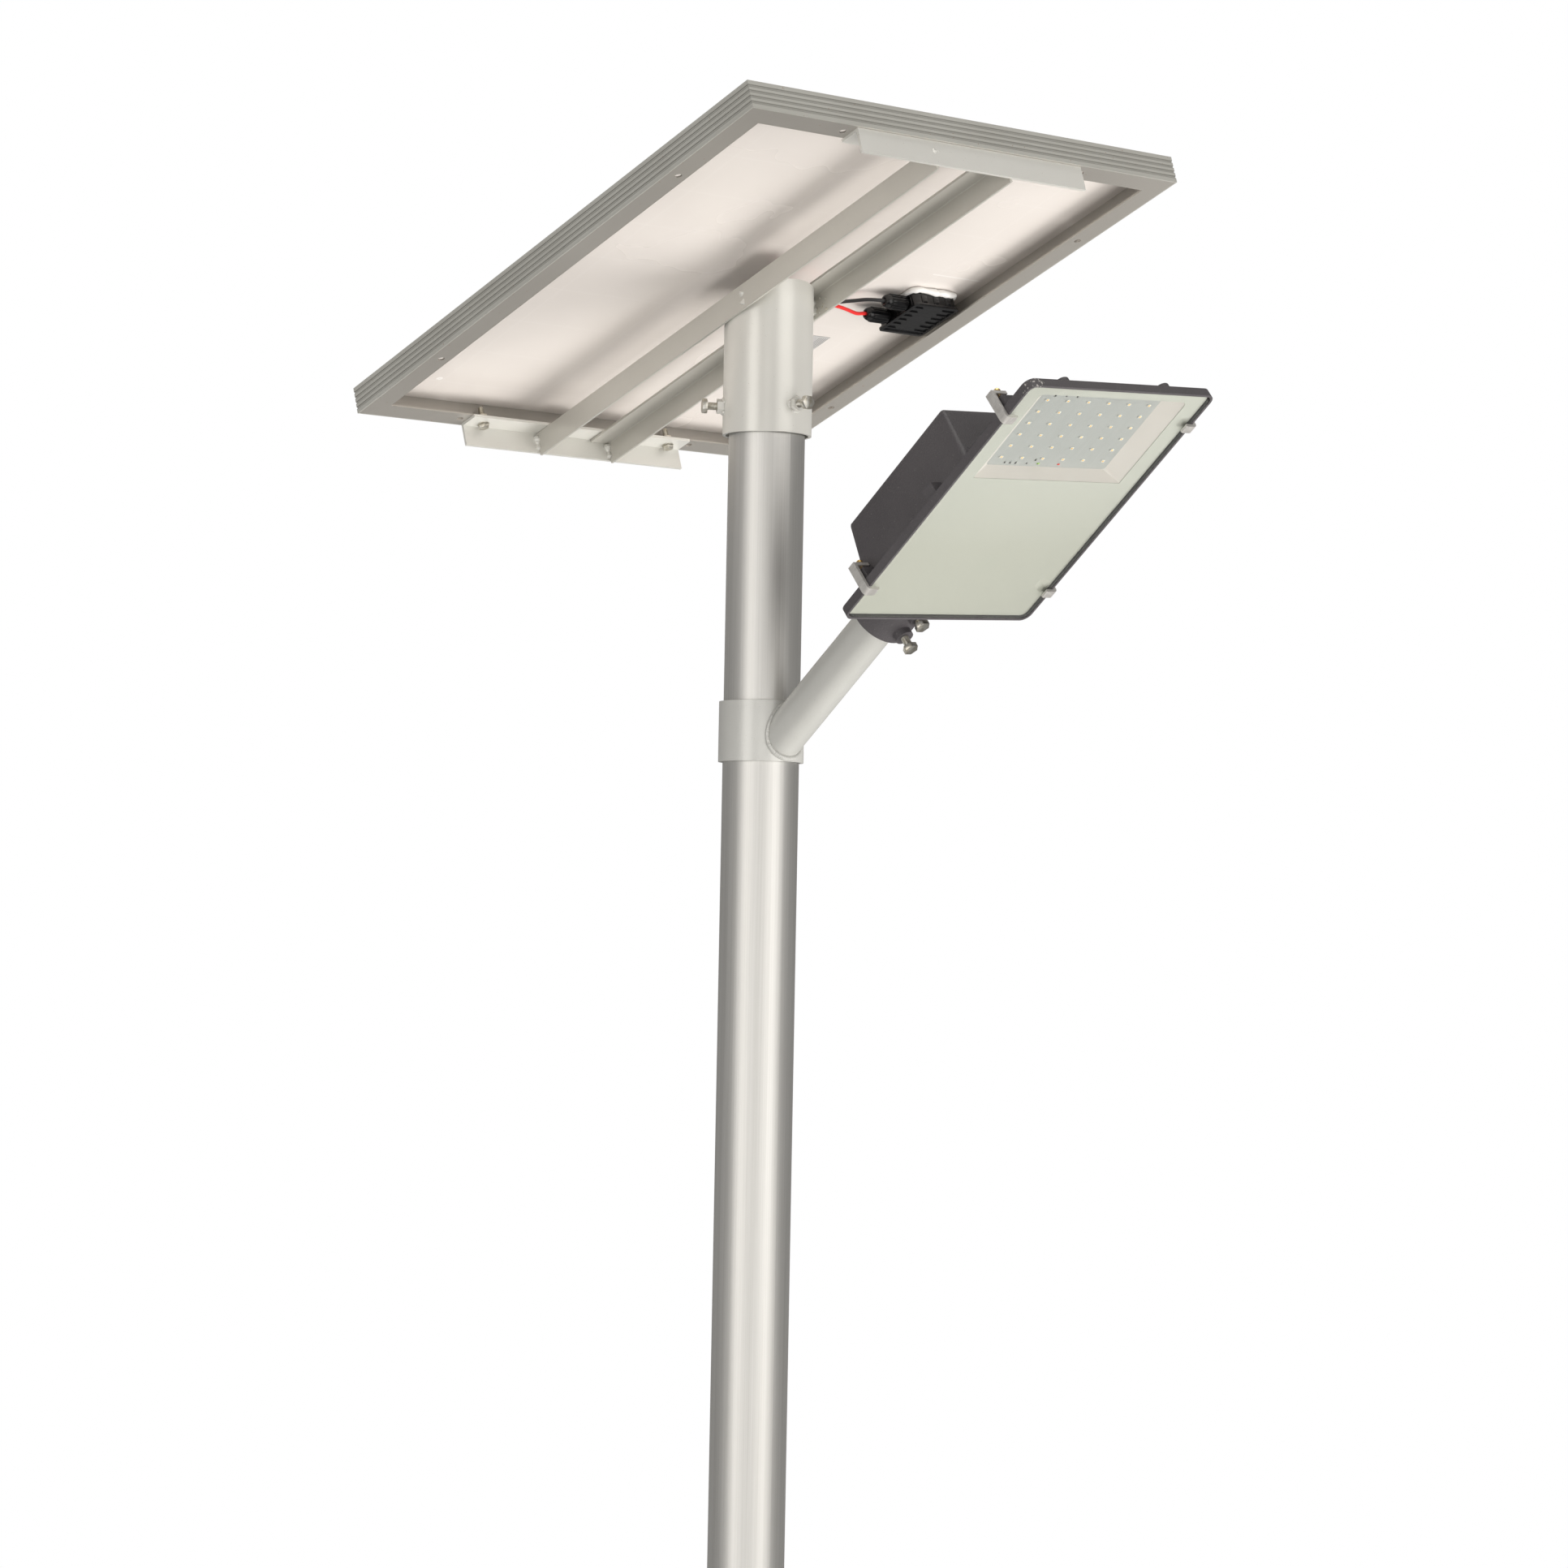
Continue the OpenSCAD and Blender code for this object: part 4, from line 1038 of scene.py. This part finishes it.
def threadRod(bm, size, tip, seat, place):
    core = size["radius"] - size["cut"]
    pitch = size["pitch"]
    outline = [(0, tip), (core - 0.6, tip), (core, tip + 0.8), (core, seat), (0, seat)]
    turned(bm, [(r * mm, z * mm) for r, z in outline], 24, place)
    turns = int((seat - tip - 1.6) / pitch)
    other = bmesh.new()
    start = tip + 0.8
    points = [(core - 0.05, 0), (size["radius"], 0.42), (size["radius"], 0.58), (core - 0.05, 1.0)]
    verts = [other.verts.new((r * mm, 0, (start + z * pitch) * mm)) for r, z in points]
    edges = [other.edges.new(pair) for pair in zip(verts, verts[1:])]
    sides = 20
    bmesh.ops.spin(other, geom=verts + edges, cent=(0, 0, 0), axis=(0, 0, 1), angle=2 * math.pi * turns,
                   steps=sides * turns, dvec=(0, 0, pitch * mm / sides))
    bmesh.ops.remove_doubles(other, verts=other.verts, dist=1e-6)
    openEdges = [e for e in other.edges if len(e.link_faces) == 1]
    bmesh.ops.holes_fill(other, edges=openEdges, sides=4)
    bmesh.ops.recalc_face_normals(other, faces=other.faces)
    other.transform(place)
    poured(bm, other)


def hexHead(bm, flat, low, high, place, topped=True):
    other = bmesh.new()
    radius = flat / math.sqrt(3)
    made = bmesh.ops.create_cone(other, cap_ends=True, segments=6, radius1=radius * mm, radius2=radius * mm,
                                 depth=(high - low) * mm)["verts"]
    bmesh.ops.translate(other, vec=(0, 0, (high + low) / 2 * mm), verts=made)
    rounded(other, [e for e in other.edges if e.calc_face_angle() < 1.3], 0.25 * mm, 2)
    rounded(other, [e for e in other.edges if e.calc_face_angle() > 1.3], 0.45 * mm, 2)
    other.transform(place)
    poured(bm, other)
    if topped:
        outline = [(0, high + 0.25), (flat * 0.34, high + 0.25), (flat * 0.44, high - 0.2), (0, high - 0.2)]
        turned(bm, [(r * mm, z * mm) for r, z in outline], 30, place)


setBolts = ["sleeve_bolt_1", "sleeve_bolt_2", "sleeve_bolt_3", "collar_bolt"]
for node in setBolts + ["spigot_bolt_1", "spigot_bolt_2"]:
    body = node.replace("_bolt", "_set_bolt")
    place = boltFrame(node)
    low, high = sized(node, place)
    size = boltSizes["set"]
    tip, top = low.z / mm, high.z / mm
    bm = bmesh.new()
    threadRod(bm, size, tip, top - size["head"] + 0.1, place)
    hexHead(bm, size["flat"], top - size["head"], top - 0.25, place)
    addPiece(camel(node), bm, "zinc", body, (node,))

boltLow, boltHigh = sized("panel_bolts", inPanel)
nutLow, nutHigh = sized("panel_nuts", inPanel)
washerR = 6.2 * mm
boltsMesh, nutsMesh = bmesh.new(), bmesh.new()
for x in (boltLow.x + washerR, boltHigh.x - washerR):
    for y in (boltLow.y + washerR, boltHigh.y - washerR):
        place = inPanel @ Matrix.Translation((x, y, 0))
        size = boltSizes["panel"]
        headLow = boltLow.z / mm
        headTop = headLow + size["head"]
        down = place @ Matrix.Rotation(math.pi, 4, "X")
        hexHead(boltsMesh, size["flat"], -headTop, -headLow - 0.25, down)
        outline = [(3.1, headTop), (6.0, headTop), (6.2, headTop + 0.2), (6.2, headTop + 0.85),
                   (6.0, headTop + 1.0), (3.1, headTop + 1.0), (3.1, headTop)]
        turned(boltsMesh, [(r * mm, z * mm) for r, z in outline], 36, place)
        threadRod(boltsMesh, size, -boltHigh.z / mm, -headTop + 0.1, down)
        hexHead(nutsMesh, size["flat"], nutLow.z / mm, nutHigh.z / mm, place, False)
addPiece("panelBolts", boltsMesh, "zinc", "panel_head", ("panel_bolts",))
addPiece("panelNuts", nutsMesh, "zinc", "panel_head", ("panel_nuts",))
print("bolts made")


# Junction box lid: rounded plate with a raised rim and short ribs along its two long sides
lidLook = {"corner": 4.5, "rim": 3.0, "sunk": 1.6, "ribs": 6, "ribPitch": 9.2, "rib": (13, 1.4, 1.3)}
lidLow, lidHigh = sized("junction_lid", inPanel)
lidMiddle = (lidLow + lidHigh) / 2


def makeLid():
    bm = bmesh.new()
    slab(bm, lidLow, lidHigh, lidLook["corner"] * mm, 0.5 * mm)
    under = min(bm.faces, key=lambda f: f.calc_center_median().z + (0 if len(f.verts) > 8 else 1))
    bmesh.ops.inset_region(bm, faces=[under], thickness=lidLook["rim"] * mm, depth=0, use_even_offset=True)
    bmesh.ops.inset_region(bm, faces=[under], thickness=0.5 * mm, depth=-lidLook["sunk"] * mm,
                           use_even_offset=True)
    long, wide, high = lidLook["rib"]
    floor = lidLow.z + lidLook["sunk"] * mm
    for side in (-1, 1):
        for i in range(lidLook["ribs"]):
            x = lidMiddle.x + (i - (lidLook["ribs"] - 1) / 2) * lidLook["ribPitch"] * mm
            y = lidMiddle.y + side * ((lidHigh.y - lidLow.y) / 2 - (lidLook["rim"] + long / 2 + 0.4) * mm)
            pad(bm, (x, y, floor + (0.3 - high) / 2 * mm), (wide, long, high + 0.3), 0.5, 0.2, 3)
    addPiece("junctionLid", bm, "lid", "panel_head", ("junction_lid",), inPanel)


makeLid()


# Snap hooks and upright ribs on the box's walls
def makeHooks():
    low, high = sized("junction_box", inPanel)
    boxHigh = Vector((high.x, lidHigh.y - 1.5 * mm, high.z))
    boxLow = Vector((low.x, lidLow.y + 1.5 * mm, low.z))
    bm = bmesh.new()
    for x in (boxLow.x, boxHigh.x):
        for y in (-16, 0, 16):
            mid = lidMiddle.y + y * mm
            pad(bm, (x, mid, lidHigh.z + 4.5 * mm), (1.8, 7, 9), 0.7, 0.3, 3)
            pad(bm, (x, mid, lidHigh.z + 2.5 * mm), (3.4, 5, 3), 0.8, 0.4, 3)
    for y in (boxLow.y, boxHigh.y):
        for x in (-24, 0, 24):
            mid = lidMiddle.x + x * mm
            pad(bm, (mid, y, lidHigh.z + 6 * mm), (1.6, 1.8, 12), 0.5, 0.3, 3)
    addPiece("junctionHooks", bm, "box", "panel_head", (), inPanel)


makeHooks()


# Glands: a ribbed nut with a domed end round the lead
glandLook = {"ribs": 16, "skirt": 7.3, "dome": 5.4, "bore": 2.15}


def makeGland(node, look):
    low, high = sized(node, inPanel)
    middle = (low + high) / 2
    long = (high.y - low.y) / mm
    place = inPanel @ Matrix.Translation((middle.x, high.y, middle.z)) @ Matrix.Rotation(math.pi / 2, 4, "X")
    skirt, dome, bore = look["skirt"], look["dome"], look["bore"]
    bm = bmesh.new()
    outline = [(5.7, 0.2), (skirt - 0.4, 0.2), (skirt, 0.6), (skirt, long - 6.5), (skirt - 0.3, long - 4.6),
               (skirt - 0.9, long - 2.6), (dome, long - 0.9), (dome - 1.0, long - 0.25), (bore + 1.2, long),
               (bore + 0.5, long - 0.8), (bore, long - 1.6), (bore, long - 12), (5.7, long - 14), (5.7, 0.2)]
    turned(bm, [(r * mm, z * mm) for r, z in outline], 54, place)
    rib = bmesh.new()
    slab(rib, ((skirt - 0.5) * mm, -0.75 * mm, 1.6 * mm), ((skirt + 0.8) * mm, 0.75 * mm, (long - 6.8) * mm),
         0.3 * mm, 0.35 * mm, 2)
    bmesh.ops.spin(rib, geom=rib.verts[:] + rib.edges[:] + rib.faces[:], cent=(0, 0, 0), axis=(0, 0, 1),
                   angle=2 * math.pi * (1 - 1 / look["ribs"]), steps=look["ribs"] - 1, use_duplicate=True)
    rib.transform(place)
    poured(bm, rib)
    addPiece(camel(node), bm, "box", "panel_head", (node,))


makeGland("gland_red", glandLook)
makeGland("gland_black", glandLook)


# Silicone round the box: a hand-laid bead, thick on the up-slope side
siliconeLook = {"radius": 2.3, "heavy": 3.6, "step": 2.6, "wander": 0.7}


def makeSilicone():
    chance = random.Random(11)
    low, high = sized("sealant", inPanel)
    halfX = (high.x - low.x) / 2 - 2.4 * mm
    halfY = (high.y - low.y) / 2 - 2.4 * mm
    corner = 7 * mm
    middle = (low + high) / 2
    path = []
    for x, y, start in ((1, -1, -90), (1, 1, 0), (-1, 1, 90), (-1, -1, 180)):
        for step in range(7):
            t = math.radians(start + step * 15)
            path.append(Vector((middle.x + x * (halfX - corner) + corner * math.cos(t),
                                middle.y + y * (halfY - corner) + corner * math.sin(t), high.z - 0.9 * mm)))
    points = spaced(path, siliconeLook["step"] * mm, True)
    radii = []
    drift = 0
    for i, point in enumerate(points):
        upSlope = max(0, (point.x - middle.x) / halfX) ** 3
        drift = drift * 0.6 + chance.uniform(-1, 1) * 0.4
        radius = siliconeLook["radius"] + (siliconeLook["heavy"] - siliconeLook["radius"]) * upSlope
        radii.append((radius + drift * (0.5 + 0.7 * upSlope)) * mm)
        side = chance.uniform(-1, 1) * siliconeLook["wander"] * (0.4 + upSlope)
        point += Vector((side * mm, chance.uniform(-0.4, 0.4) * mm, 1.15 * mm - radii[-1]))
    mesh = beadMesh("siliconeLine", [(points, radii, True)], 4)
    mesh.transform(inPanel)
    piece = addMesh("siliconeBead", mesh, "silicone", "panel_head", ("sealant",), 180)
    finer = piece.modifiers.new("finer", "SUBSURF")
    finer.levels = finer.render_levels = 2


makeSilicone()
print("junction box detailed")


# Cover glass with ground edges, just clear of the print on its back
def makeGlass():
    low, high = sized("cover_glass", inLamp)
    bm = bmesh.new()
    bottom = Vector((low.x, low.y, low.z + 0.02 * mm))
    top = Vector((high.x, high.y, high.z - 0.04 * mm))
    slab(bm, bottom, top, 10 * mm, 0.5 * mm, 10)
    addPiece("coverGlass", bm, "coverGlass", "lamp", ("cover_glass",), inLamp, 30)


makeGlass()


# LEDs: white packages, each with a yellow well, and the two signal LEDs
ledLook = {
    "rows": 6,
    "columns": 6,
    "rowPitch": 15.4,
    "columnPitch": 26.4,
    "size": (2.8, 3.5),
    "well": 1.15,
}


def makeLeds(look):
    low, high = sized("leds", inLamp)
    signalLow, signalHigh = sized("signal_leds", inLamp)
    middle = (low + high) / 2
    packages, wells, pads = bmesh.new(), bmesh.new(), bmesh.new()
    for i in range(look["rows"]):
        for j in range(look["columns"]):
            x = middle.x + (i - (look["rows"] - 1) / 2) * look["rowPitch"] * mm
            y = middle.y + (j - (look["columns"] - 1) / 2) * look["columnPitch"] * mm
            halfX = look["size"][0] / 2 * mm
            halfY = look["size"][1] / 2 * mm
            slab(packages, (x - halfX, y - halfY, low.z), (x + halfX, y + halfY, high.z),
                 0.25 * mm, 0.1 * mm, 2)
            well = look["well"] * mm
            turned(wells, [(0, low.z - 0.16 * mm), (well * 0.7, low.z - 0.12 * mm), (well, low.z),
                           (well, low.z + 0.1 * mm), (0, low.z + 0.1 * mm)],
                   14, Matrix.Translation((x, y, 0)))
            for side in (-1, 1):
                edge = y + side * (halfY + 0.5 * mm)
                pad(pads, (x, edge, high.z - 0.125 * mm), (look["size"][0] * 0.8, 1.2, 0.25), 0.2, 0.08)
    addPiece("ledPackages", packages, "package", "lamp", ("leds",), inLamp)
    addPiece("ledWells", wells, "phosphor", "lamp", (), inLamp)
    addPiece("ledPads", pads, "solder", "lamp", (), inLamp)
    x = (signalLow.x + signalHigh.x) / 2
    signals = [
        ("signalGreen", "green", signalLow.y + 1.5 * mm, ("signal_leds",)),
        ("signalRed", "redLed", signalHigh.y - 1.5 * mm, ()),
    ]
    dome = [(0, -0.75), (0.4, -0.6), (0.62, -0.2), (0.62, 0.1), (0, 0.1)]
    for name, lit, y, replaced in signals:
        bm = bmesh.new()
        slab(bm, (x - 0.8 * mm, y - 1.5 * mm, signalLow.z + 0.3 * mm),
             (x + 0.8 * mm, y + 1.5 * mm, signalHigh.z), 0.2 * mm, 0.1 * mm, 2)
        place = Matrix.Translation((x, y, signalLow.z + 0.4 * mm))
        turned(bm, [(r * mm, z * mm) for r, z in dome], 16, place)
        addPiece(name, bm, lit, "lamp", replaced, inLamp)


makeLeds(ledLook)


# Small parts on the board, between the LED rows and along its near edge
def makeComponents():
    chance = random.Random(21)
    low = sized("led_board", inLamp)[0]
    bm, ends = bmesh.new(), bmesh.new()
    spots = [(7, 24), (7, 31), (7, 38), (7, 52), (12, 60), (7, 66), (98, 20), (98, 34), (98, 48)]
    for x, y in spots:
        at = Vector((low.x + x * mm, low.y + y * mm, low.z))
        long, wide, tall = chance.uniform(1.6, 3.0), chance.uniform(1.0, 1.6), chance.uniform(0.5, 0.9)
        pad(bm, (at.x, at.y, at.z - tall / 2 * mm), (long, wide, tall), 0.15, 0.08)
        for side in (-1, 1):
            middle = (at.x + side * long / 2 * mm, at.y, at.z - tall * 0.45 * mm)
            pad(ends, middle, (0.7, wide + 0.1, tall * 0.9), 0.12, 0.06)
    addPiece("boardChips", bm, "component", "lamp", (), inLamp)
    addPiece("boardJoints", ends, "solder", "lamp", (), inLamp)


makeComponents()
print("lamp detailed")


# Studio: pale floor, white surroundings, soft boxes either side of the camera
studio = {
    "floorRadius": 1.7,
    "roomGrey": 0.24,
    "boxes": [
        {"turn": -38, "away": 4.6, "height": 2.4, "size": (2.2, 4.2), "power": 54},
        {"turn": 44, "away": 4.6, "height": 2.4, "size": (3.4, 4.2), "power": 76},
        {"turn": 0, "away": 5.6, "height": 2.0, "size": (2.4, 4.2), "power": 34},
        {"turn": 180, "away": 6.0, "height": 5.0, "size": (3.0, 2.5), "power": 60},
    ],
    "fill": {"turn": 88, "away": 4.5, "height": 2.2, "size": (2.6, 3.4), "power": 58},
    "aim": (0.0, 0.0, 2.6),
    "top": {"at": (0, 0, 6.5), "size": (3, 3), "power": 90},
    "under": [
        {"at": (3.3, -0.5, -0.4), "aim": (0.3, 0.0, 2.9), "size": (3.2, 3.2), "power": 108},
        {"at": (1.3, 2.7, -0.2), "aim": (0.2, 0.1, 2.95), "size": (2.6, 2.6), "power": 170},
    ],
    "lightColour": (1.0, 0.975, 0.94),
}


def softBox(name, at, aim, size, power):
    light = bpy.data.lights.new(name, "AREA")
    light.shape = "RECTANGLE"
    light.size, light.size_y = size
    light.energy = power
    lamp = bpy.data.objects.new(name, light)
    lamp.location = at
    lamp.rotation_euler = (Vector(aim) - Vector(at)).to_track_quat("-Z", "Y").to_euler()
    light.color = studio["lightColour"]
    lamp.visible_camera = False
    scene.collection.objects.link(lamp)
    return lamp


def addStudio(look):
    fills = [look["fill"] | {"turn": -look["fill"]["turn"]}, look["fill"]]
    for number, box in enumerate(look["boxes"] + fills):
        turn = math.radians(cameraLook["azimuth"] + box["turn"])
        at = (math.sin(turn) * box["away"], -math.cos(turn) * box["away"], box["height"])
        light = softBox(f"softBox{number}", at, look["aim"], box["size"], box["power"])
        light.visible_glossy = box not in fills
    softBox("topLight", look["top"]["at"], look["aim"], look["top"]["size"], look["top"]["power"])
    for number, box in enumerate(look["under"]):
        light = softBox(f"underLight{number}", box["at"], box["aim"], box["size"], box["power"])
        light.visible_glossy = False
    bm = bmesh.new()
    bmesh.ops.create_circle(bm, cap_ends=True, segments=96, radius=look["floorRadius"])
    mesh = bpy.data.meshes.new("floor")
    bm.to_mesh(mesh)
    bm.free()
    s = Sheet("floorPaper")
    paper = s.noise(s.coordinates(), 3, 2)
    mesh.materials.append(s.finish(s.principled({
        "Base Color": s.mix(paper, colour(0.80, 0.80, 0.79), colour(0.84, 0.84, 0.83)),
        "Roughness": 0.8,
    })))
    floor = bpy.data.objects.new("floor", mesh)
    scene.collection.objects.link(floor)
    world = bpy.data.worlds.new("room")
    world.use_nodes = True
    tree = world.node_tree
    seen = tree.nodes.new("ShaderNodeLightPath").outputs["Is Camera Ray"]
    grey = tree.nodes["Background"]
    grey.inputs["Color"].default_value = colour(1.0, 0.985, 0.96)
    grey.inputs["Strength"].default_value = look["roomGrey"]
    white = tree.nodes.new("ShaderNodeBackground")
    white.inputs["Strength"].default_value = 1.0
    white.inputs["Color"].default_value = colour(1, 1, 1)
    mixer = tree.nodes.new("ShaderNodeMixShader")
    tree.links.new(seen, mixer.inputs[0])
    tree.links.new(grey.outputs[0], mixer.inputs[1])
    tree.links.new(white.outputs[0], mixer.inputs[2])
    tree.links.new(mixer.outputs[0], tree.nodes["World Output"].inputs["Surface"])
    scene.world = world


addStudio(studio)
print("studio lit")
